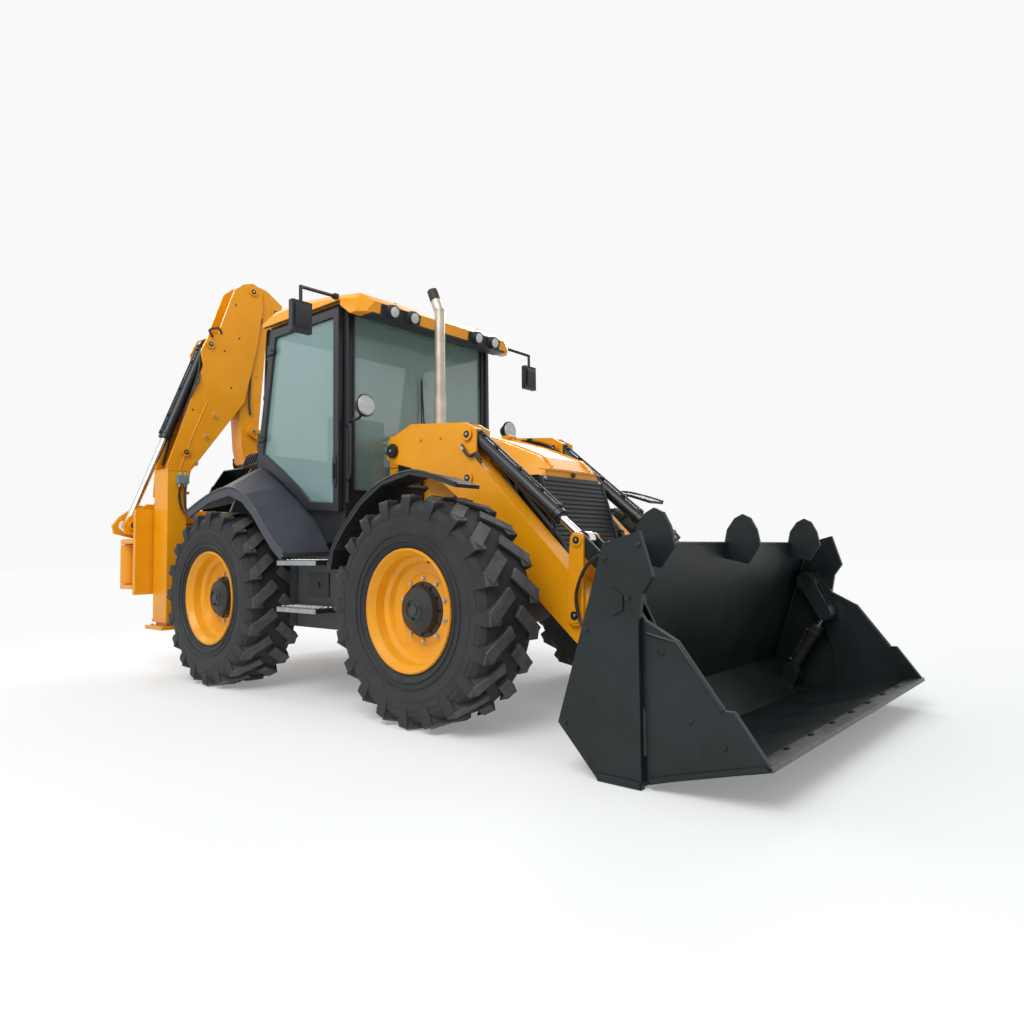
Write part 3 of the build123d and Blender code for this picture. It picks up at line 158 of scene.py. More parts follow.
def from_axle(tree, place, centre):
    """The distance from the axle's line, which runs along Y through the centre."""
    off = add(tree, "VectorMath", {0: place, 1: centre}, operation="SUBTRACT").outputs[0]
    flat = add(tree, "VectorMath", {0: off, 1: (1, 0, 1)}, operation="MULTIPLY").outputs[0]
    return add(tree, "VectorMath", {0: flat}, operation="LENGTH").outputs["Value"]


def part_rubber(name, centre):
    """Tyre rubber, scuffed on the tops of the bars, by the distance from the axle."""
    def scuff(tree, place, colour):
        tops = spread(tree, from_axle(tree, place, centre), from_min=0.632, from_max=0.650)
        worn = calc(tree, "MULTIPLY", tops, noise(tree, place, 18, 8))
        return blend(tree, worn, colour, (0.15, 0.145, 0.135, 1))
    return repaint(surface(name, (0.017, 0.019, 0.021), 0.72, vary=0.3, scale=7, grain=0.5, grain_scale=150,
                           dust=0.3, dust_colour=(0.10, 0.095, 0.085), spec=0.35), scuff)


def part_rim(name, centre):
    """Rim yellow, with the hub inside it black."""
    def hub(tree, place, colour):
        inside = calc(tree, "LESS_THAN", from_axle(tree, place, centre), 0.1605)
        return blend(tree, inside, colour, (0.014, 0.016, 0.018, 1))
    return repaint(surface(name, (0.82, 0.35, 0.0015), 0.40, vary=0.06, scale=7, grain=0.05, dust=0.2,
                           edge=0.004, coat=0.1, spec=0.4), hub)


def two_tone(name, first, second, limit):
    """One paint on each side of an x value, for a node that carries two colours."""
    def ahead(tree, place, colour):
        x = add(tree, "SeparateXYZ", {0: place}).outputs["X"]
        other = ramp(tree, noise(tree, place, 12), [c * 0.8 for c in second], second)
        return blend(tree, calc(tree, "GREATER_THAN", x, limit), colour, other)
    m = first.copy()
    m.name = name
    return repaint(m, ahead)


YELLOW = surface("yellow_paint", (0.80, 0.315, 0.0015), 0.40, vary=0.07, scale=4, grain=0.06, dust=0.3,
                 dust_colour=(0.36, 0.19, 0.04), edge=0.006, coat=0.12, spec=0.4)
BLACK = surface("black_paint", (0.012, 0.014, 0.017), 0.36, vary=0.25, scale=6, grain=0.08, dust=0.10,
                edge=0.005, spec=0.4)
SHOVEL = surface("shovel_paint", (0.0035, 0.0090, 0.0105), 0.42, vary=0.4, scale=3.5, grain=0.25,
                 grain_scale=90, dust=0.14, dust_colour=(0.035, 0.035, 0.032), edge=0.006, spec=0.35)
WORN = surface("worn_edge", (0.10, 0.10, 0.095), 0.45, metal=0.6, vary=0.45, scale=14, grain=0.4,
               grain_scale=120, edge=0.003)
CAB = surface("cab_black", (0.010, 0.012, 0.015), 0.40, vary=0.2, scale=7, grain=0.12, edge=0.006, spec=0.4)
PLASTIC = surface("grey_plastic", (0.034, 0.038, 0.050), 0.5, vary=0.12, scale=5, grain=0.3,
                  grain_scale=420, edge=0.006)
FENDER = two_tone("fender_plastic", PLASTIC, (0.010, 0.012, 0.015), -0.15)
GUARD = surface("black_plastic", (0.012, 0.014, 0.017), 0.5, vary=0.15, scale=8, grain=0.3,
                grain_scale=420, edge=0.004, spec=0.4)
CAST = surface("cast_black", (0.018, 0.020, 0.022), 0.55, vary=0.3, scale=9, grain=0.4, grain_scale=120,
               dust=0.2, edge=0.004)
ROD = surface("chromed_rod", (0.72, 0.72, 0.73), 0.12, metal=1.0, vary=0.05, scale=12)
STEEL = surface("bright_steel", (0.50, 0.49, 0.47), 0.34, metal=1.0, vary=0.12, scale=25, grain=0.1,
                edge=0.002)
PIN = surface("dark_pin", (0.030, 0.030, 0.032), 0.42, metal=0.7, vary=0.3, scale=30, grain=0.2, edge=0.002)
STACK = surface("stack_steel", (0.50, 0.43, 0.35), 0.36, metal=0.7, vary=0.18, scale=6, grain=0.1)
SOOT = surface("stack_tip", (0.03, 0.026, 0.024), 0.6, metal=0.4, vary=0.3, scale=14)
SEAT = surface("seat_cloth", (0.018, 0.019, 0.022), 0.88, vary=0.25, scale=60, grain=0.7, grain_scale=700)
LENS = surface("lamp_lens", (0.50, 0.56, 0.58), 0.08, vary=0.25, scale=70, grain=0.5, grain_scale=300,
               coat=0.6)
MIRROR = surface("mirror_glass", (0.62, 0.66, 0.70), 0.06, metal=1.0, vary=0.04, scale=3)
TREAD = surface("step_alloy", (0.34, 0.36, 0.38), 0.42, metal=0.85, vary=0.2, scale=18, grain=0.2,
                dust=0.2, edge=0.002)
HOSE = surface("hose_rubber", (0.010, 0.010, 0.011), 0.45, vary=0.2, scale=30, grain=0.3, grain_scale=500)
BLOCK = surface("engine_grey", (0.07, 0.07, 0.07), 0.6, metal=0.4, vary=0.3, scale=12, grain=0.3)
VALVE = surface("valve_grey", (0.20, 0.26, 0.30), 0.42, metal=0.3, vary=0.15, scale=20, grain=0.2,
                edge=0.002)
GLASS = glass("cab_glass_tint", (0.27, 0.43, 0.42), 0.50)

PAINT = {
    "chassis_frame": BLACK, "engine_block": BLOCK, "axles": CAST, "rear_frame": YELLOW, "cab_frame": CAB,
    "cab_glass": GLASS, "cab_roof": YELLOW, "seat": SEAT, "steering_console": GUARD, "fenders": FENDER,
    "side_tanks": BLACK, "lamps": LENS, "mirrors": GUARD, "exhaust_stack": STACK, "cowl": YELLOW,
    "hood_top": YELLOW, "hood_sides": BLACK, "loader_arms": YELLOW, "lift_barrels": BLACK,
    "lift_rods": ROD, "tipping_levers": YELLOW, "tipping_links": BLACK, "tilt_barrels": BLACK,
    "tilt_rods": ROD, "shovel_back": SHOVEL, "shovel_clam": SHOVEL, "clam_barrels": BLACK,
    "clam_rods": ROD, "sideshift_carriage": YELLOW, "kingpost": YELLOW, "boom": YELLOW,
    "boom_ram_barrel": BLACK, "boom_ram_rod": ROD, "dipper": YELLOW, "dipper_ram_barrel": BLACK,
    "dipper_ram_rod": ROD, "bucket_lever": YELLOW, "bucket_link": YELLOW, "bucket_ram_barrel": BLACK,
    "bucket_ram_rod": ROD, "dig_bucket": SHOVEL, "stabiliser_leg_left": YELLOW,
    "stabiliser_leg_right": YELLOW, "door_left": CAB, "door_right": CAB, "door_glass_left": GLASS,
    "door_glass_right": GLASS,
}
WHEELS = {"front_right": (FX, -1), "front_left": (FX, 1), "rear_right": (RX, -1), "rear_left": (RX, 1)}
for name, node in NODES.items():
    if name.startswith(("tyre", "rim")):
        kind, wheel = name.split("_", 1)
        x, hand = WHEELS[wheel]
        centre = node.matrix_world.inverted() @ (Vector((x, hand * WHEEL_Y, TYRE_R)) / 1000)
        make = part_rubber if kind == "tyre" else part_rim
        paint = make(f"{name}_paint", centre)
    elif name.startswith("knuckle"):
        paint = CAST
    else:
        paint = PAINT[name]
    node.data.materials.clear()
    node.data.materials.append(paint)


# Small pieces are gathered by the body that they ride on and by paint
GATHER = {}


def on(body, paint):
    """The group that pieces of this paint on this body are added to."""
    key = (body, paint)
    if key not in GATHER:
        GATHER[key] = bmesh.new()
    return GATHER[key]


def placed(name, data):
    """A new object in the scene."""
    o = bpy.data.objects.new(name, data)
    bpy.context.scene.collection.objects.link(o)
    return o


def turn_to(direction):
    return Vector(direction).to_track_quat("Z", "Y").to_matrix().to_4x4()


def cyl(bm, p, q, r, r2=None, seg=24):
    p, q = Vector(p), Vector(q)
    m = Matrix.Translation((p + q) / 2) @ turn_to(q - p)
    bmesh.ops.create_cone(bm, cap_ends=True, segments=seg, radius1=r, radius2=r if r2 is None else r2,
                          depth=(q - p).length, matrix=m)


def box(bm, corner, other):
    """A box between any two opposite corners."""
    low, high = (Vector(c) for c in zip(*map(sorted, zip(corner, other))))
    m = Matrix.Translation((low + high) / 2) @ Matrix.Diagonal((*(high - low), 1))
    bmesh.ops.create_cube(bm, size=1, matrix=m)


def skin(bm, rows, caps=False):
    """Faces from each ring of vertices to the next, with or without the two ends."""
    for a, b in zip(rows, rows[1:]):
        for k in range(len(a)):
            bm.faces.new((a[k - 1], b[k - 1], b[k], a[k]))
    if caps:
        bm.faces.new(rows[0])
        bm.faces.new(rows[-1][::-1])


def prism(bm, axis, points, a, b):
    """A flat outline (x, z) pushed along Y, or (y, z) along X."""
    rows = [[bm.verts.new((u, t, w) if axis == "y" else (t, u, w)) for u, w in points] for t in (a, b)]
    skin(bm, rows, caps=True)


def tube(bm, points, r, steps=7):
    """A hose or pipe that bends smoothly through the points."""
    pts = [Vector(p) for p in points]
    ends = [2 * pts[0] - pts[1], *pts, 2 * pts[-1] - pts[-2]]
    path = []
    for i in range(1, len(ends) - 2):
        a, b, c, d = ends[i - 1:i + 3]
        for k in range(steps):
            t = k / steps
            path.append(0.5 * (2 * b + (c - a) * t + (2 * a - 5 * b + 4 * c - d) * t * t
                               + (3 * b - a - 3 * c + d) * t ** 3))
    pole(bm, [*path, pts[-1]], r)


def pole(bm, points, r, seg=10):
    """A pipe, rod or bead that runs straight from point to point."""
    path = [Vector(p) for p in points]
    rings = []
    up = Vector((0, 0, 1))
    for i, p in enumerate(path):
        d = (path[min(i + 1, len(path) - 1)] - path[max(i - 1, 0)]).normalized()
        if abs(d.dot(up)) > 0.95:
            up = Vector((1, 0, 0)) if abs(d.x) < 0.9 else Vector((0, 1, 0))
        s = d.cross(up).normalized()
        up = s.cross(d).normalized()
        rings.append([bm.verts.new(p + r * (cos(2 * pi * k / seg) * s + sin(2 * pi * k / seg) * up))
                      for k in range(seg)])
    skin(bm, rings, caps=True)


def ring(bm, centre, axis, radius, thick, seg=40, sides=8):
    """A round bead about an axis."""
    c, t = Vector(centre), turn_to(axis).to_3x3()
    rows = []
    for i in range(seg):
        a = 2 * pi * i / seg
        radial = t @ Vector((cos(a), sin(a), 0))
        ax = t @ Vector((0, 0, 1))
        rows.append([bm.verts.new(c + radial * (radius + thick * cos(2 * pi * k / sides))
                                  + ax * thick * sin(2 * pi * k / sides)) for k in range(sides)])
    skin(bm, [*rows, rows[0]])


def bolt(bm, place, out, r=11, h=9):
    """A hexagon head on its washer."""
    p, d = Vector(place), Vector(out).normalized()
    cyl(bm, p - d, p + d * 2, r * 1.45, seg=18)
    cyl(bm, p + d * 2, p + d * (2 + h), r, seg=6)


def pin_cap(body, place, out, r=34, paint=None):
    """The visible end of a pivot pin: collar, end face and its bolt."""
    p, d = Vector(place), Vector(out).normalized()
    cyl(on(body, paint or YELLOW), p - d * 2, p + d * 5, r * 1.45)
    cyl(on(body, PIN), p, p + d * 9, r * 0.8)
    bolt(on(body, STEEL), p + d * 8, d, r=r * 0.24, h=5)


def lug(bm, hub, radial, axial, tangent):
    """A shoulder lug on the tyre about the hub."""
    rings = []
    for r, low, high, half in LUG:
        p = hub + radial * r
        rings.append([bm.verts.new(p + axial * a + tangent * t)
                      for a, t in ((low, -half), (high, -half), (high, half), (low, half))])
    skin(bm, rings, caps=True)


# Wheels: shoulder lugs, bolts, valve and the beads on the sidewall.
# A lug's sections: radius, inner and outer reach along the axle, half width
LUG = ((528, 190, 205.5, 20), (548, 190, 208, 31), (604, 160, 207.5, 37), (640, 120, 201, 37),
       (646, 120, 196, 35))
# Bolts: count, share of a pitch, paint, circle's radius, place out from the middle plane, head's size, height
HUB_BOLTS = ((10, 0.5, STEEL, 178, 51, 11, 14), (12, 0, PIN, 141, 68, 7, 6), (3, 0.2, PIN, 50, 136, 9, 5))
for wheel, (x, hand) in WHEELS.items():
    body = f"wheel_{wheel}"
    hub, face = Vector((x, hand * WHEEL_Y, TYRE_R)), Vector((0, hand, 0))
    rubber = part_rubber(f"shoulder_rubber_{wheel}", hub / 1000)
    for side in (-1, 1):
        for i in range(20):
            t = radians(18 * (i + side / 4))
            outward, along_z = Vector((cos(t), 0, -sin(t))), Vector((sin(t), 0, cos(t)))
            radial = (outward * 620 - along_z * 63).normalized()
            tangent = radial.cross(Vector((0, 1, 0)))
            lug(on(body, rubber), hub, radial, Vector((0, side, 0)), tangent)
    for count, turn, paint, r, out, size, high in HUB_BOLTS:
        for i in range(count):
            a = 2 * pi * (i + turn) / count
            bolt(on(body, paint), hub + Vector((cos(a), 0, sin(a))) * r + face * out, face, size, high)
    ring(on(body, CAST), hub + face * 137, face, 62, 5)
    cyl(on(body, CAST), hub + face * 136, hub + face * 141, 30)
    a = radians(65)
    valve = hub + Vector((cos(a), 0, sin(a))) * 300
    cyl(on(body, STEEL), valve + face * 95, valve + face * 130, 5, seg=10)
    cyl(on(body, PIN), valve + face * 125, valve + face * 140, 7, seg=10)
    for r, w in ((394, 3.5), (432, 3), (500, 4), (548, 3)):
        ring(on(body, HOSE), hub + face * (204.5 if r < 500 else 203.5), face, r, w, seg=72, sides=6)
    ring(on(body, YELLOW), hub + face * 190, face, 343, 5, seg=64)

# Loader arms: pins, bolts, weld beads and the hoses that ride on them with their clamps
ARM_SIDE = 65      # from the arm's middle to its outer face
for hand in (-1, 1):
    for s in (-1, 1):
        y = hand * ARM_Y + s * ARM_SIDE
        out = (0, s, 0)
        pin_cap("loader_arms", (TILT_BASE[0], y + s * 10, TILT_BASE[1]), out, 28)
        pin_cap("loader_arms", (LIFT_PIN[0], y + s * 7, LIFT_PIN[1]), out, 28)
        for dx, dz in ((-250, 35), (-440, 40)):
            bolt(on("loader_arms", YELLOW), (TILT_BASE[0] + dx, y, 1700 + dz), out, r=9, h=6)
        bead_y = y - s * 5
        pole(on("loader_arms", YELLOW), [(FX + 722, bead_y, 471), (FX + 450, bead_y, 702)], 5)
    y_out = hand * (ARM_Y + ARM_SIDE + 8)
    y_in = hand * (ARM_Y - ARM_SIDE - 12)
    y_low = y_in - hand * 24      # clear of the levers
    tube(on("loader_arms", HOSE), [(FX - 640, y_in, 1790), (FX - 330, y_in, 1800), (FX - 60, y_in, 1690),
                                   (FX + 180, y_in, 1400), (FX + 440, y_in, 1122), (FX + 520, y_low, 1010),
                                   (FX + 600, y_low, 850), (FX + 650, y_low, 730)], 13)
    tube(on("loader_arms", HOSE), [(FX - 640, y_in, 1755), (FX - 330, y_in, 1762), (FX - 90, y_in, 1655),
                                   (FX + 150, y_in, 1370), (FX + 410, y_in, 1090), (FX + 490, y_low, 980),
                                   (FX + 555, y_low, 850), (FX + 600, y_low, 710)], 13)
    for px, pz in ((-330, 1781), (180, 1385), (455, 1075)):
        box(on("loader_arms", PIN), (FX + px - 16, y_in - 14, pz - 42), (FX + px + 16, y_in + 14, pz + 42))
    # Hose loops that come out of the cylinder's base
    for k, dz in ((0, 0), (1, 26)):
        tube(on("loader_arms", HOSE), [(FX - 150 - 10 * k, y_out, 1640 + dz),
                                       (FX - 90, y_out + hand * 6, 1590),
                                       (FX - 20 - 12 * k, y_out + hand * 8, 1600 - 8 * k),
                                       (FX + 10, y_out, 1560 - 20 * k)], 9)
    cyl(on("loader_arms", STEEL), (FX - 160, y_out, 1655), (FX - 140, y_out, 1632), 13, seg=6)


# Cylinders
def dress(body, base, eye, across, radius, length, pipe_side, flat="y"):
    """Gland, ports, hard pipe and its clips on one barrel, which lies in a plane across Y or X."""
    run = ((eye[0] - base[0]) ** 2 + (eye[1] - base[1]) ** 2) ** 0.5
    ux, uz = (eye[0] - base[0]) / run, (eye[1] - base[1]) / run
    nx, nz = -uz * pipe_side, ux * pipe_side
    side = Vector((0, 14, 0)) if flat == "y" else Vector((14, 0, 0))

    def at(t, n=0.0):
        u, v = base[0] + ux * t + nx * n, base[1] + uz * t + nz * n
        return Vector((u, across, v) if flat == "y" else (across, u, v))
    bm = on(body, BLACK)
    cyl(bm, at(length - 62), at(length - 40), radius + 9, seg=32)
    cyl(bm, at(length - 1), at(length + 4), radius - 4, seg=32)
    for t in (62, length - 62):
        cyl(bm, at(t, radius - 4), at(t, radius + 12), 13, seg=16)
        cyl(on(body, STEEL), at(t, radius + 10), at(t, radius + 16), 10, seg=6)
    tube(bm, [at(62, radius + 14), at(90, radius + 11), at(length - 90, radius + 11),
              at(length - 62, radius + 14)], 8, steps=3)
    for t in (200, length * 0.5, length - 220):
        clip = at(t, radius + 3)
        cyl(bm, clip - side, clip + side, 14, seg=12)


for hand in (-1, 1):
    dress("tilt_barrels", TILT_BASE, LEVER_TOP, hand * ARM_Y, 42, 880, 1)
    dress("lift_barrels", LIFT_BASE, LIFT_PIN, hand * ARM_Y, 46, 880, 1)
    dress("clam_barrels", (FX + 1302, 162), (FX + 1540, 560), hand * 1130, 32, 360, 1)
dress("boom_ram_barrel", (-540, 2935), (-1215, 1235), HOE_X, 46, 980, -1, flat="x")
dress("dipper_ram_barrel", (-760, 1905), (-134, 3271), HOE_X, 43, 1060, -1, flat="x")

# Levers, links and shovel pins
for hand in (-1, 1):
    y_out = hand * (ARM_Y + ARM_SIDE + 21)
    y_in = hand * (ARM_Y - ARM_SIDE - 21)
    for y, s in ((y_out, hand), (y_in, -hand)):
        pin_cap("tipping_levers", (LEVER_PIVOT[0], y, LEVER_PIVOT[1]), (0, s, 0), 30)
        pin_cap("loader_arms", (SHOVEL_PIN[0], y + s * 5, SHOVEL_PIN[1]), (0, s, 0), 28, PIN)
    pin_cap("tipping_levers", (LEVER_TOP[0], y_out + hand * 2, LEVER_TOP[1]), (0, hand, 0), 26)
    for y, s in ((y_out, hand), (y_in, -hand)):
        pin_cap("shovel_back", (LINK_PIN[0], y, LINK_PIN[1]), (0, s, 0), 24, SHOVEL)
# The hose that loops back out of the shovel, beside the near lever
tube(on("shovel_back", HOSE), [(FX + 1010, -585, 990), (FX + 899, -575, 946), (FX + 831, -570, 902),
                               (FX + 782, -570, 828), (FX + 752, -570, 734), (FX + 760, -570, 650),
                               (FX + 786, -573, 586), (FX + 900, -582, 500)], 10)

# Shovel: pivot covers, bolts, wear strips, cutting edge and weld beads
for hand in (-1, 1):
    y = hand * 1250
    out = (0, hand, 0)
    cyl(on("shovel_back", SHOVEL), (CLAM_PIVOT[0], y - hand * 2, CLAM_PIVOT[1]),
        (CLAM_PIVOT[0], y + hand * 7, CLAM_PIVOT[1]), 58, seg=6)
    bolt(on("shovel_back", PIN), (CLAM_PIVOT[0] + 70, y, CLAM_PIVOT[1] + 20), out, r=11, h=6)
    for x, z in ((2405, 1001), (2236, 944), (2136, 636), (2016, 224)):
        bolt(on("shovel_back", SHOVEL), (x, y, z), out, r=9, h=4)
    prism(on("shovel_back", SHOVEL), "y", [(FX + 1338, 2), (FX + 1330, 34), (FX + 1545, 34), (FX + 1545, 2)],
          y - hand * 1, y + hand * 6)
    y_in = hand * 1222
    pole(on("shovel_back", SHOVEL), [(FX + 1165, y_in, 225), (FX + 1237, y_in, 470),
                                     (FX + 1400, y_in, 985)], 8)
    # Clam: folded lower rim, side cutter and edge bolts
    y_c = hand * 1220
    prism(on("shovel_clam", SHOVEL), "y", [(FX + 1575, 22), (FX + 1575, 48), (FX + 1700, 84),
                                           (FX + 2060, 180), (FX + 2076, 165), (FX + 1705, 62)],
          y_c - hand * 2, y_c + hand * 9)
    pole(on("shovel_clam", SHOVEL), [(FX + 1570, y_c - hand * 3, 636), (FX + 1706, y_c - hand * 3, 607),
                                     (FX + 1896, y_c - hand * 3, 358)], 9)
    for x, z in ((1640, 560), (1760, 300), (1900, 220)):
        bolt(on("shovel_clam", SHOVEL), (FX + x, y_c, z), out, r=9, h=4)
for k in range(9):
    y = -1160 + 290 * k
    bolt(on("shovel_clam", PIN), (FX + 2008, y, 160), (-0.27, 0, 0.96), r=15, h=9)
prism(on("shovel_clam", WORN), "y", [(FX + 1985, 133), (FX + 1980, 156), (FX + 2084, 181), (FX + 2087, 160)],
      -1215, 1215)
pole(on("shovel_back", SHOVEL), [(FX + 1384, -1222, 1010), (FX + 1384, 1222, 1010)], 12)
for y in (-960, 0, 960):
    for s in (-1, 1):
        pole(on("shovel_back", SHOVEL), [(FX + 1368, y + s * 12, 1000), (FX + 1360, y + s * 12, 935)], 5)

# Bonnet: grille mesh on the sides and across the front, seam, latch
HOOD_Y = 352
# Upright bars of the side grille: x from the front axle, foot, head
HOOD_BARS = ((-330, 1110, 1400), (-260, 1090, 1402), (-190, 1080, 1402), (-120, 1070, 1400),
             (-50, 1062, 1398), (20, 1055, 1396), (90, 1050, 1394), (160, 1045, 1392), (230, 1040, 1388))
for hand in (-1, 1):
    y = hand * HOOD_Y
    for dx, foot, head in HOOD_BARS:
        box(on("hood", GUARD), (FX + dx - 4, y, foot), (FX + dx + 4, y + hand * 5, head))
    for k in range(12):
        z = 1075 + k * 28
        box(on("hood", GUARD), (FX - 345, y, z - 3), (FX + 250, y + hand * 4, z + 3))
    box(on("hood", BLACK), (FX - 365, y, 1408), (FX + 285, y + hand * 6, 1424))
    box(on("hood", BLACK), (FX - 365, y, 1040), (FX + 285, y + hand * 6, 1056))
    for x in (FX - 366, FX + 276):
        box(on("hood", BLACK), (x, y, 1040), (x + 12, y + hand * 6, 1424))
front_dir = Vector((145, 0, -460)).normalized()
for k in range(15):
    p = Vector((FX + 330, 0, 1450)) + front_dir * (30 + k * 30)
    box(on("hood", GUARD), (p.x - 3, -318, p.z - 3), (p.x + 6, 318, p.z + 3))
for k in range(17):
    a = Vector((FX + 332, -304 + k * 38, 1425))
    pole(on("hood", GUARD), [a, a + front_dir * 440], 4, seg=6)
for hand in (-1, 1):
    pole(on("hood", BLACK), [(FX + 334, hand * 330, 1440), (FX + 476, hand * 330, 992)], 9)
    bolt(on("hood", STEEL), (FX + 336, hand * 300, 1436), (0.95, 0, 0.3), r=8, h=5)
cyl(on("hood", PIN), (FX + 332, 0, 1470), (FX + 344, 0, 1472), 16)
box(on("hood", YELLOW), (FX + 326, -345, 1486), (FX + 334, 345, 1492))
for hand in (-1, 1):
    pole(on("hood", PIN), [(FX - 372, hand * HOOD_Y, 1478), (FX + 326, hand * HOOD_Y, 1449)], 3.5)
    tube(on("hood", YELLOW), [(FX - 350, hand * 200, 1795), (FX - 40, hand * 200, 1699),
                              (FX + 240, hand * 200, 1586), (FX + 320, hand * 205, 1512)], 7)

# Cowl: filler cap, panel seams and bolts
for hand in (-1, 1):
    y = hand * HOOD_Y
    cyl(on("frame", PIN), (-165, y - hand, 1718), (-165, y + hand * 12, 1718), 34)
    cyl(on("frame", YELLOW), (-165, y - hand, 1718), (-165, y + hand * 6, 1718), 46)
    bolt(on("frame", STEEL), (-165, y + hand * 11, 1718), (0, hand, 0), r=8, h=5)
    pole(on("frame", PIN), [(-215, y, 1600), (455, y, 1600)], 3)
    for x, z in ((-190, 1560), (430, 1560), (430, 1740), (130, 1740)):
        bolt(on("frame", YELLOW), (x, y, z), (0, hand, 0), r=9, h=5)

# Exhaust: sleeve, weld ring, clamp, rain-cut tip
stack = (FX - 590, -300)
cyl(on("frame", STACK), (*stack, 1841), (*stack, 2090), 41, seg=32)
ring(on("frame", STACK), (*stack, 2090), (0, 0, 1), 38, 5)
ring(on("frame", STEEL), (*stack, 1868), (0, 0, 1), 41, 5)
tip = Vector((-75, 0, 170)).normalized()
foot = Vector((stack[0], stack[1], 2680))
cyl(on("frame", SOOT), foot + tip * 96, foot + tip * 184, 37.5, seg=28)
# The dark disc over the tip's mouth is painted shade, standing for the hollow bore of the pipe.
cyl(on("frame", HOSE), foot + tip * 184, foot + tip * 185.5, 31, seg=28)
for dz in (0, 10):
    ring(on("frame", STACK), (stack[0], stack[1], 2684 + dz), (0, 0, 1), 35.5, 2.5)

# Roof: lamps with bezels on the nose, black band under it, gutters and ribs
nose_low, nose_high = Vector((CAB_FRONT + 240, 0, 2640)), Vector((CAB_FRONT + 255, 0, 2722))
nose_mid = (nose_low + nose_high) / 2
nose_up = (nose_high - nose_low).normalized()
nose_out = Vector((nose_up.z, 0, -nose_up.x))
for hand in (-1, 1):
    for y in (340, 530):
        c = nose_mid + Vector((0, hand * y, 0))
        cyl(on("frame", GUARD), c, c + nose_out * 36, 52, 47, seg=32)
        ring(on("frame", GUARD), c + nose_out * 40, nose_out, 41, 4.5)
        ring(on("frame", STEEL), c + nose_out * 41, nose_out, 30, 1.6, sides=6)
        cyl(on("frame", LENS), c + nose_out * 41, c + nose_out * 46, 37, 30, seg=28)
    prism(on("frame", GUARD), "y", [(nose_low.x - 118, 2640), (nose_low.x + 2, 2636), (nose_high.x + 3, 2716),
                                    (nose_high.x - 8, 2720), (nose_low.x - 118, 2644)],
          hand * 255, hand * 625)
prism(on("frame", GUARD), "y", [(CAB_FRONT + 10, 2700), (CAB_FRONT + 118, 2634), (nose_low.x + 2, 2632),
                                (nose_low.x + 1, 2652), (CAB_FRONT + 124, 2652), (CAB_FRONT + 12, 2716)],
      -700, 700)
for hand in (-1, 1):
    pole(on("frame", GUARD), [(CAB_REAR + 165, hand * 782, 2763), (CAB_FRONT - 20, hand * 782, 2763)], 9)
    tube(on("frame", YELLOW), [(CAB_REAR + 300, hand * 430, 2868), (CAB_FRONT - 80, hand * 430, 2822),
                               (CAB_FRONT + 180, hand * 430, 2779)], 9)

# Windscreen: rubber, wiper; screen posts
for hand in (-1, 1):
    pole(on("frame", GUARD), [(CAB_FRONT + 3, hand * 668, 1425), (CAB_FRONT + 3, hand * 668, 2685)], 7)
    pole(on("frame", CAB), [(CAB_FRONT + 4, hand * 722, 1330), (CAB_FRONT + 4, hand * 722, 2700)], 14)
for z in (1422, 2688):
    pole(on("frame", GUARD), [(CAB_FRONT + 3, -668, z), (CAB_FRONT + 3, 668, z)], 7)
x = CAB_FRONT + 14
cyl(on("frame", PIN), (CAB_FRONT - 5, 120, 1400), (CAB_FRONT + 26, 120, 1400), 20)
pole(on("frame", PIN), [(x + 6, 120, 1400), (x + 8, 60, 1700), (x - 2, 0, 1990)], 7)
pole(on("frame", PIN), [(x, 20, 1600), (x - 8, -20, 2330)], 6)
box(on("frame", HOSE), (x - 12, -26, 1640), (x - 8, -14, 2310))

# Headlamps on their brackets
for hand in (-1, 1):
    lamp_x, lamp_y, lamp_z = -2.0, hand * 752, 1985.0
    tube(on("frame", CAB), [(CAB_FRONT + 6, hand * 715, 1905), (CAB_FRONT + 90, hand * 740, 1905),
                            (lamp_x - 60, lamp_y, 1915), (lamp_x - 50, lamp_y, lamp_z)], 11)
    cyl(on("frame", GUARD), (lamp_x - 70, lamp_y, lamp_z), (lamp_x - 10, lamp_y, lamp_z), 40, 74, seg=32)
    cyl(on("frame", GUARD), (lamp_x - 12, lamp_y, lamp_z), (lamp_x + 6, lamp_y, lamp_z), 78, seg=36)
    cyl(on("frame", LENS), (lamp_x + 5, lamp_y, lamp_z), (lamp_x + 14, lamp_y, lamp_z), 68, 58, seg=36)
    ring(on("frame", STEEL), (lamp_x + 9, lamp_y, lamp_z), (1, 0, 0), 66, 5)
    cyl(on("frame", STEEL), (lamp_x + 12, lamp_y, lamp_z), (lamp_x + 16, lamp_y, lamp_z), 16)

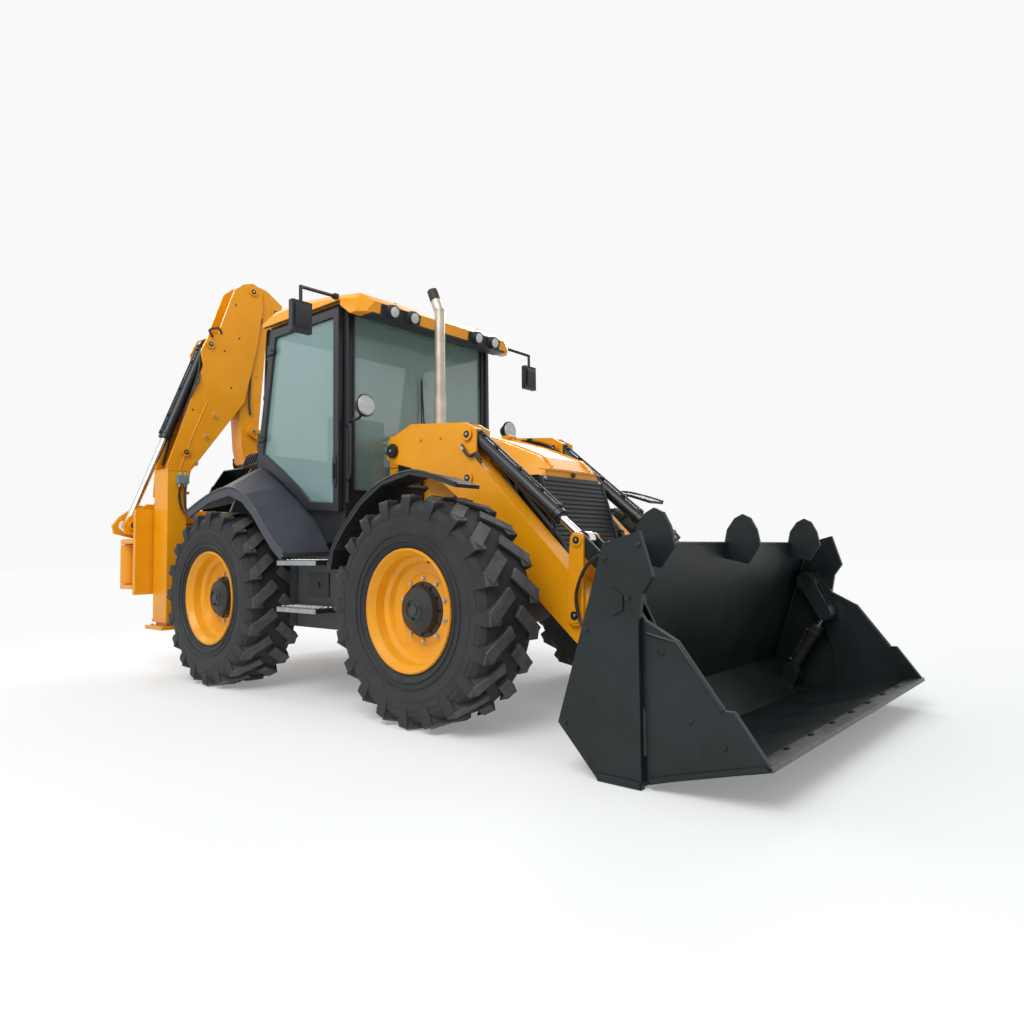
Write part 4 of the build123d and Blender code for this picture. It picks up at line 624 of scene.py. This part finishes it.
# Doors: rubber round the panes, latch, grab rail, hinge fins
DOOR_FOOT, DOOR_HEAD = (CAB_REAR + 75, 1735.0), (CAB_REAR + 265, 2715.0)
PANE = [(DOOR_FOOT[0] + 75, 1765), (DOOR_HEAD[0] + 50, 2655), (CAB_FRONT - 80, 2655),
        (CAB_FRONT - 80, 1335), (RX + 770, 1358), (RX + 625, 1465), (RX + 425, 1597)]
for name, hand in (("door_right", -1), ("door_left", 1)):
    y = hand * (DOOR_Y + 8)
    pole(on(name, GUARD), [(u, y, w) for u, w in PANE + PANE[:1]], 8, seg=8)
    y = hand * (DOOR_Y + 20)
    cyl(on(name, GUARD), (-302, y - hand, 1560), (-302, y + hand * 5, 1560), 24)
    prism(on(name, GUARD), "y", [(-322, 1470), (-312, 1440), (-292, 1440), (-282, 1470), (-282, 1640),
                                 (-292, 1670), (-312, 1670), (-322, 1640)], y - hand, y + hand * 6)
    box(on(name, PIN), (-310, y + hand * 5, 1500), (-294, y + hand * 16, 1610))
    tube(on(name, GUARD), [(-330, hand * (DOOR_Y - 24), 1500), (-345, hand * (DOOR_Y - 50), 1530),
                           (-345, hand * (DOOR_Y - 50), 1900), (-330, hand * (DOOR_Y - 24), 1930)], 10)
    for share in (0.16, 0.84):
        hx = DOOR_FOOT[0] + (DOOR_HEAD[0] - DOOR_FOOT[0]) * share
        hz = DOOR_FOOT[1] + (DOOR_HEAD[1] - DOOR_FOOT[1]) * share
        prism(on(name, GUARD), "y", [(hx - 10, hz - 36), (hx + 80, hz - 28), (hx + 92, hz),
                                     (hx + 80, hz + 26), (hx - 10, hz + 40)], y - hand * 2, y + hand * 12)
        bolt(on(name, PIN), (hx + 55, y + hand * 12, hz), (0, hand, 0), r=8, h=4)

# Cab sides: louvred intake, grab rail on the front post
for hand in (-1, 1):
    y = hand * 740
    for k in range(5):
        x0 = CAB_REAR - 205 + k * 38
        prism(on("frame", GUARD), "y", [(x0, 1703 + k * 5), (x0 + 14, 1700 + k * 5), (x0 + 56, 1760 + k * 6),
                                        (x0 + 44, 1766 + k * 6)], y - hand * 4, y + hand * 7)
    tube(on("frame", CAB), [(CAB_FRONT + 5, hand * 735, 1500), (CAB_FRONT + 50, hand * 735, 1530),
                            (CAB_FRONT + 50, hand * 735, 1850), (CAB_FRONT + 5, hand * 735, 1880)], 11)

# Mirrors: glass, rims, backs and knuckles
for hand in (-1, 1):
    y = hand * MIRROR_Y
    x = CAB_FRONT + 90
    box(on("frame", MIRROR), (x - 3, y - 62, 2434), (x, y + 62, 2612))
    pole(on("frame", GUARD), [(x - 1, y - 70, 2428), (x - 1, y + 70, 2428), (x - 1, y + 70, 2618),
                              (x - 1, y - 70, 2618), (x - 1, y - 70, 2428)], 5)
    prism(on("frame", GUARD), "y", [(CAB_FRONT + 128, 2440), (CAB_FRONT + 146, 2470), (CAB_FRONT + 146, 2580),
                                    (CAB_FRONT + 128, 2612)], y - 55, y + 55)
    cyl(on("frame", GUARD), (CAB_FRONT + 110, y, 2585), (CAB_FRONT + 110, y, 2625), 20)

# Side tanks and steps: bright treads, straps, filler and latch
TANK_Y = 950
for hand in (-1, 1):
    for z in (610, 920):
        box(on("frame", TREAD), (RX + 888, hand * 952, z + 14), (RX + 1332, hand * 1123, z + 19))
        box(on("frame", TREAD), (RX + 888, hand * 1118, z - 16), (RX + 1332, hand * 1123, z + 18))
        for k in range(9):
            xx = RX + 915 + k * 49
            for j in range(3):
                yy = hand * (985 + j * 50)
                cyl(on("frame", STEEL), (xx, yy, z + 17), (xx, yy, z + 23), 13, 10, seg=14)
    y = hand * TANK_Y
    for xx in (RX + 850, RX + 1400):
        box(on("frame", PIN), (xx - 20, y, 482), (xx + 20, y + hand * 5, 958))
    for xx, zz in ((RX + 830, 520), (RX + 1420, 520), (RX + 830, 940), (RX + 1420, 940)):
        bolt(on("frame", PIN), (xx, y + hand * 4, zz), (0, hand, 0), r=9, h=6)
    box(on("frame", GUARD), (RX + 1010, y, 690), (RX + 1240, y + hand * 6, 850))
    cyl(on("frame", PIN), (RX + 1125, y + hand * 5, 770), (RX + 1125, y + hand * 14, 770), 18)
cyl(on("frame", PIN), (RX + 800, 800, 955), (RX + 800, 800, 985), 52)

# Fenders: lip beads
REAR_OUT = [(RX + 960, 985), (RX + 850, 1060), (RX + 720, 1180), (RX + 600, 1300), (RX + 450, 1410),
            (RX + 250, 1475), (RX - 50, 1440), (RX - 400, 1330)]
FRONT_OUT = [(FX + 370, 1345), (FX + 200, 1400), (FX, 1441), (FX - 251, 1395), (FX - 440, 1290),
             (FX - 610, 1140), (FX - 725, 1005), (FX - 748, 905)]
for hand in (-1, 1):
    tube(on("frame", PLASTIC), [(u, hand * 1118, w + 1) for u, w in REAR_OUT], 9)
    tube(on("frame", GUARD), [(u, hand * 1117, w + 2) for u, w in FRONT_OUT], 8)

# Chassis towers: bolts and pin caps, hoses that drop behind them
for hand in (-1, 1):
    for pin in (LIFT_PIVOT, LIFT_BASE):
        pin_cap("frame", (pin[0], hand * (ARM_Y + 89), pin[1]), (0, hand, 0), 30, BLACK)
    for dx, dz in ((-70, 860), (90, 860), (-70, 960), (95, 960)):
        bolt(on("frame", PIN), (LIFT_BASE[0] + dx, hand * (ARM_Y + 86), dz), (0, hand, 0), r=12, h=8)
    y = hand * (ARM_Y - 98)
    for k in range(3):
        tube(on("frame", HOSE), [(LIFT_PIVOT[0] - 30 + 30 * k, y, 1740),
                                 (LIFT_PIVOT[0] + 10 + 26 * k, y, 1500),
                                 (LIFT_BASE[0] + 20 + 24 * k, y, 1150), (LIFT_BASE[0] + 24 * k, y, 990)], 11)

# Axles and drive shafts
for x in (FX, RX):
    for k in range(10):
        a = 2 * pi * k / 10
        u, w = cos(a), sin(a)
        bolt(on("frame", PIN), (x + 118 * u, 100, TYRE_R + 118 * w), (u, 0.8, w), r=8, h=6)
for hand in (-1, 1):
    for x in (FX, RX):
        tube(on("frame", HOSE), [(x - 100, hand * 120, 790), (x - 110, hand * 330, 760),
                                 (x - 80, hand * 600, 700)], 8)
        cyl(on("frame", BLACK), (x - 118, hand * 210, 690), (x - 118, hand * 560, 690), 24)
        cyl(on("frame", ROD), (x - 118, hand * 560, 690), (x - 118, hand * 668, 690), 13)
        box(on("frame", BLACK), (x - 140, hand * 180, 640), (x - 60, hand * 230, 735))
cyl(on("frame", CAST), (RX + 140, 0, TYRE_R), (FX - 140, 0, TYRE_R), 38)
for x in (RX + 170, RX + 640, FX - 170):
    cyl(on("frame", CAST), (x - 26, 0, TYRE_R), (x + 26, 0, TYRE_R), 60)

# Rear frame: stabiliser housings with their hydraulic blocks and hoses
for hand in (-1, 1):
    x = LEG_X + 120
    y = hand * 1010
    box(on("frame", VALVE), (x - 1, y - 46, 1572), (x + 52, y + 46, 1640))
    for k in (-1, 1):
        cyl(on("frame", STEEL), (x + 26, y + k * 22, 1640), (x + 26, y + k * 22, 1668), 11, seg=12)
        cyl(on("frame", STEEL), (x + 26, y + k * 22, 1545), (x + 26, y + k * 22, 1572), 12, seg=6)
        tube(on("frame", HOSE), [(x + 26, y + k * 22, 1550), (x + 22 + 6 * k, y + k * 20, 1440),
                                 (x + 40, y - hand * 30 + k * 14, 1330),
                                 (x + 150, y - hand * 110, 1262 + 14 * k)], 9)
    bolt(on("frame", YELLOW), (x, y + 60, 1500), (1, 0, 0), r=9, h=5)
    for z in (520, 700, 1100, 1300):
        for dy in (-55, 55):
            bolt(on("frame", YELLOW), (LEG_X - 120, hand * LEG_Y + dy, z), (-1, 0, 0), r=8, h=5)
    box(on("frame", YELLOW), (LEG_X - 125, hand * LEG_Y - 85, 428), (LEG_X + 125, hand * LEG_Y + 85, 452))
    box(on("frame", YELLOW), (LEG_X - 123, hand * LEG_Y - 83, 1680), (LEG_X + 123, hand * LEG_Y + 83, 1692))
    tube(on("frame", HOSE), [(RX - 850, hand * 760, 1200), (RX - 800, hand * 500, 1215),
                             (RX - 790, hand * 250, 1200), (RX - 750, hand * 150, 1000)], 11)

# Backhoe: bolts, pins and hoses on the boom, kingpost, carriage and dipper
for y, z in ((-487, 2269), (-572, 2063), (-673, 1814)):
    for s in (-1, 1):
        cyl(on("boom", YELLOW), (HOE_X + s * 114, y, z), (HOE_X + s * 121, y, z), 30)
        bolt(on("boom", STEEL), (HOE_X + s * 120, y, z), (s, 0, 0), r=10, h=6)
for y, z in ((-287, 3369), (-400, 2900), (-330, 2560), (-700, 2300), (-250, 3050)):
    for s in (-1, 1):
        bolt(on("boom", PIN), (HOE_X + s * 115, y, z), (s, 0, 0), r=6, h=3)
for y, z in ((-110, 3540), (-540, 2935), (-760, 1905)):
    for s in (-1, 1):
        pin_cap("boom", (HOE_X + s * 125, y, z), (s, 0, 0), 28)
for s in (-1, 1):
    x = HOE_X + s * 122
    tube(on("boom", YELLOW), [(x - s * 6, -880, 1560), (x - s * 6, -700, 2060), (x - s * 6, -560, 2400)], 5)
    tube(on("boom", HOSE), [(HOE_X + s * 77, -880, 1790), (HOE_X + s * 77, -760, 2250),
                            (HOE_X + s * 77, -640, 2620), (HOE_X + s * 77, -615, 2800)], 11)
tube(on("boom", HOSE), [(HOE_X + 122, -520, 3010), (HOE_X + 140, -560, 3060), (HOE_X + 128, -470, 3100),
                        (HOE_X + 118, -430, 3060)], 11)
tube(on("boom", HOSE), [(HOE_X + 122, -640, 2640), (HOE_X + 138, -660, 2560), (HOE_X + 130, -700, 2480),
                        (HOE_X + 118, -720, 2420)], 9)
for s in (-1, 1):
    pin_cap("kingpost", (HOE_X + s * 140, -1005, 1020), (s, 0, 0), 30)
    pin_cap("kingpost", (HOE_X + s * 137, -1215, 1235), (s, 0, 0), 28)
    for y, z in ((-1060, 1280), (-1080, 1150), (-980, 1300)):
        bolt(on("kingpost", PIN), (HOE_X + s * 125, y, z), (s, 0, 0), r=10, h=6)
for z in (1120, 700):
    cyl(on("sideshift_carriage", YELLOW), (HOE_X, SWING_Y, z - 4), (HOE_X, SWING_Y, z), 50)
for y in (-1180, -1000, -820):
    for z in (720, 1300):
        bolt(on("sideshift_carriage", STEEL), (RX - 1045, y, z), (-1, 0, 0), r=13, h=9)
for k in range(3):
    tube(on("sideshift_carriage", HOSE), [(RX - 1046, -860 + 30 * k, 1340), (RX - 1075, -870 + 30 * k, 1250),
                                          (RX - 1080, -880 + 30 * k, 1100), (RX - 1047, -900 + 30 * k, 1010)],
         11)
for y, z, w, r in ((150, 3400, 93, 26), (-100, 2170, 132, 17)):
    for s in (-1, 1):
        pin_cap("dipper", (HOE_X + s * w, y, z), (s, 0, 0), r)
for s in (-1, 1):
    x = HOE_X + s * 85
    for k in range(3):
        bolt(on("dipper", YELLOW), (x, -60 + 15 * k, 2900 - 180 * k), (s, 0, 0), r=8, h=4)
    tube(on("dipper", HOSE), [(x + s * 12, 0, 3300), (x + s * 12, -90, 3000), (x + s * 12, -130, 2500),
                              (x + s * 12, -120, 2330)], 10)

# Digging bucket: worn teeth, side cutter beads and pins
from_dir = (cos(radians(-115)), sin(radians(-115)))


def from_pin(a, b):
    return (-120 + a * from_dir[0] - b * from_dir[1], 1890 + a * from_dir[1] + b * from_dir[0])


for i in range(5):
    x = HOE_X + (i - 2) * 122.5
    prism(on("dig_bucket", WORN), "x", [from_pin(930, -3), from_pin(925, 33), from_pin(1012, 13),
                                        from_pin(1012, -2)], x - 26.5, x + 26.5)
for s in (-1, 1):
    x = HOE_X + s * 276
    pts = [from_pin(a, b) for a, b in ((300, -60), (700, -40), (930, 10))]
    pole(on("dig_bucket", WORN), [(x - s * 6, u, w) for u, w in pts], 9)
    pin_cap("dig_bucket", (HOE_X + s * 130, -120, 1890), (s, 0, 0), 26, SHOVEL)

# Stabiliser feet: bolts
for name, hand in (("right", -1), ("left", 1)):
    body = f"stabiliser_leg_{name}"
    for dx in (-110, 110):
        for dy in (-90, 90):
            bolt(on(body, STEEL), (LEG_X + dx, hand * LEG_Y + dy, 402), (0, 0, 1), r=12, h=8)

# Inside the cab: side consoles, levers, armrests, dashboard, pedals, loudspeakers and headlining
box(on("frame", GUARD), (RX + 330, -430, 1101), (RX + 820, -300, 1530))
box(on("frame", GUARD), (RX + 330, 300, 1101), (RX + 820, 430, 1530))
for hand in (-1, 1):
    for k in range(3):
        p = Vector((RX + 480 + 90 * k, hand * 365, 1530))
        cyl(on("frame", STEEL), p, p + Vector((30, 0, 150)), 8, seg=12)
        cyl(on("frame", GUARD), p, p + Vector((3, 0, 30)), 26, 14, seg=16)
        cyl(on("frame", GUARD), p + Vector((30, 0, 140)), p + Vector((40, 0, 215)), 20, 24, seg=16)
    tube(on("frame", GUARD), [(RX + 340, hand * 285, 1560), (RX + 420, hand * 290, 1690),
                              (RX + 620, hand * 290, 1700)], 26)
box(on("frame", GUARD), (CAB_FRONT - 250, -240, 1395), (CAB_FRONT - 60, 240, 1560))
box(on("frame", HOSE), (CAB_FRONT - 256, -200, 1420), (CAB_FRONT - 249, 200, 1545))
for y in (-120, -20, 130):
    box(on("frame", PIN), (CAB_FRONT - 330, y - 32, 1150), (CAB_FRONT - 300, y + 32, 1230))
    cyl(on("frame", PIN), (CAB_FRONT - 315, y, 1190), (CAB_FRONT - 240, y, 1280), 9, seg=10)
for hand in (-1, 1):
    for y in (430, 560):
        cyl(on("frame", GUARD), (CAB_FRONT - 60, hand * y, 2640), (CAB_FRONT - 130, hand * y, 2655), 62)
box(on("frame", SEAT), (CAB_REAR + 330, -620, 2700), (CAB_FRONT - 120, 620, 2712))


def finished(bm, name, paint):
    """The mesh of what was gathered, in metres and shaded smooth."""
    me = bpy.data.meshes.new(name)
    bm.to_mesh(me)
    bm.free()
    me.transform(Matrix.Scale(0.001, 4))
    for p in me.polygons:
        p.use_smooth = True
    me.materials.append(paint)
    return me


def cushion(name, low, high, soft):
    """A stuffed seat piece with rounded edges."""
    bm = bmesh.new()
    box(bm, low, high)
    bmesh.ops.bevel(bm, geom=bm.edges[:], offset=soft, segments=5, profile=0.6, affect="EDGES")
    o = placed(name, finished(bm, name, SEAT))
    sub = o.modifiers.new("soft", "SUBSURF")
    sub.levels = sub.render_levels = 1
    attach(o, "frame")


cushion("seat_cushion", (RX + 310, -258, 1362), (RX + 778, 258, 1488), 45)
cushion("seat_backrest", (RX + 242, -248, 1480), (RX + 358, 248, 2106), 45)

# Every gathered group becomes one object on its body
for (body, paint), bm in GATHER.items():
    bmesh.ops.recalc_face_normals(bm, faces=bm.faces[:])
    me = finished(bm, f"{body}_{paint.name}", paint)
    me.set_sharp_from_angle(angle=radians(38))
    o = placed(f"{body}.{paint.name}", me)
    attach(o, body)

# Rounded edges on the mirrors and the seat
for name, width in (("mirrors", 0.022), ("seat", 0.03)):
    bevel = NODES[name].modifiers.new("soft_edges", "BEVEL")
    bevel.width = width
    bevel.segments = 4
    bevel.limit_method = "ANGLE"
    bevel.angle_limit = radians(50)


# Floor, light and camera
def stage_floor():
    """A plain pale floor that fades into the white background."""
    me = bpy.data.meshes.new("floor")
    s = 60
    me.from_pydata([(-s, -s, -0.001), (s, -s, -0.001), (s, s, -0.001), (-s, s, -0.001)], [], [(0, 1, 2, 3)])
    m, tree, place = shader("floor_pale")
    pale = ramp(tree, noise(tree, place, 0.6), (0.80, 0.80, 0.80), (0.84, 0.84, 0.84))
    b = add(tree, "BsdfPrincipled", {"Base Color": pale, "Roughness": 0.9, "Specular IOR Level": 0.1})
    glow = add(tree, "Emission", {0: (1, 1, 1, 1), 1: 0.97})
    run = add(tree, "VectorMath", {0: place}, operation="LENGTH").outputs["Value"]
    fade = add(tree, "MapRange", {"Value": run, "From Min": 2.5, "From Max": 7.5, "To Min": 0.25,
                                  "To Max": 1.0}, interpolation_type="SMOOTHSTEP")
    mix = add(tree, "MixShader", {0: fade.outputs[0], 1: b.outputs[0], 2: glow.outputs[0]})
    add(tree, "OutputMaterial", {0: mix.outputs[0]})
    me.materials.append(m)
    o = placed("floor", me)


def stage_world():
    """White to the camera and in reflections and glass, a soft grey to blue sky as the light."""
    world = bpy.data.worlds.new("studio")
    bpy.context.scene.world = world
    world.use_nodes = True
    tree = world.node_tree
    tree.nodes.clear()
    white = add(tree, "Background", {0: (1, 1, 1, 1), 1: 0.95})
    height = add(tree, "SeparateXYZ", {0: add(tree, "TexCoord").outputs["Generated"]}).outputs["Z"]
    tone = ramp(tree, height, (0.34, 0.36, 0.37), (0.90, 0.97, 1.0), (0.02, 0.60))
    sky = add(tree, "Background", {0: tone, 1: 0.62})
    path = add(tree, "LightPath").outputs
    seen = path["Is Camera Ray"]
    for ray in ("Is Glossy Ray", "Is Transmission Ray"):
        seen = calc(tree, "MAXIMUM", seen, path[ray])
    mix = add(tree, "MixShader", {0: seen, 1: sky.outputs[0], 2: white.outputs[0]})
    add(tree, "OutputWorld", {0: mix.outputs[0]})


def area(name, place, aim, size, power):
    d = bpy.data.lights.new(name, "AREA")
    d.shape = "SQUARE"
    d.size = size
    d.energy = power
    o = placed(name, d)
    o.location = place
    o.rotation_euler = (Vector(aim) - Vector(place)).to_track_quat("-Z", "Y").to_euler()


def photo_camera(place, yaw, pitch, roll, lens):
    """The camera that was fitted to the photo; angles in radians."""
    ahead = Vector((cos(pitch) * cos(yaw), cos(pitch) * sin(yaw), sin(pitch)))
    right = ahead.cross(Vector((0, 0, 1))).normalized()
    up = right.cross(ahead)
    right, up = cos(roll) * right + sin(roll) * up, cos(roll) * up - sin(roll) * right
    d = bpy.data.cameras.new("photo_camera")
    d.sensor_width = 36
    d.lens = lens
    d.clip_end = 200
    cam = placed("photo_camera", d)
    cam.matrix_world = Matrix((*((r, u, -a, p) for r, u, a, p in zip(right, up, ahead, place)), (0, 0, 0, 1)))
    bpy.context.scene.camera = cam


stage_floor()
stage_world()
area("key", (2.5, -7.0, 8.5), (0, 0, 1), 6, 760)
area("fill", (-8.0, -1.5, 7.5), (-1, 0, 1), 4, 260)
area("rim_light", (-3.0, 8.0, 7.0), (0, 0, 1), 5, 500)
photo_camera((4.0123, -3.941, 0.98013), 2.276118, 0.0528817, -0.0108036, 26.2103)
bpy.context.scene.view_settings.view_transform = "Standard"
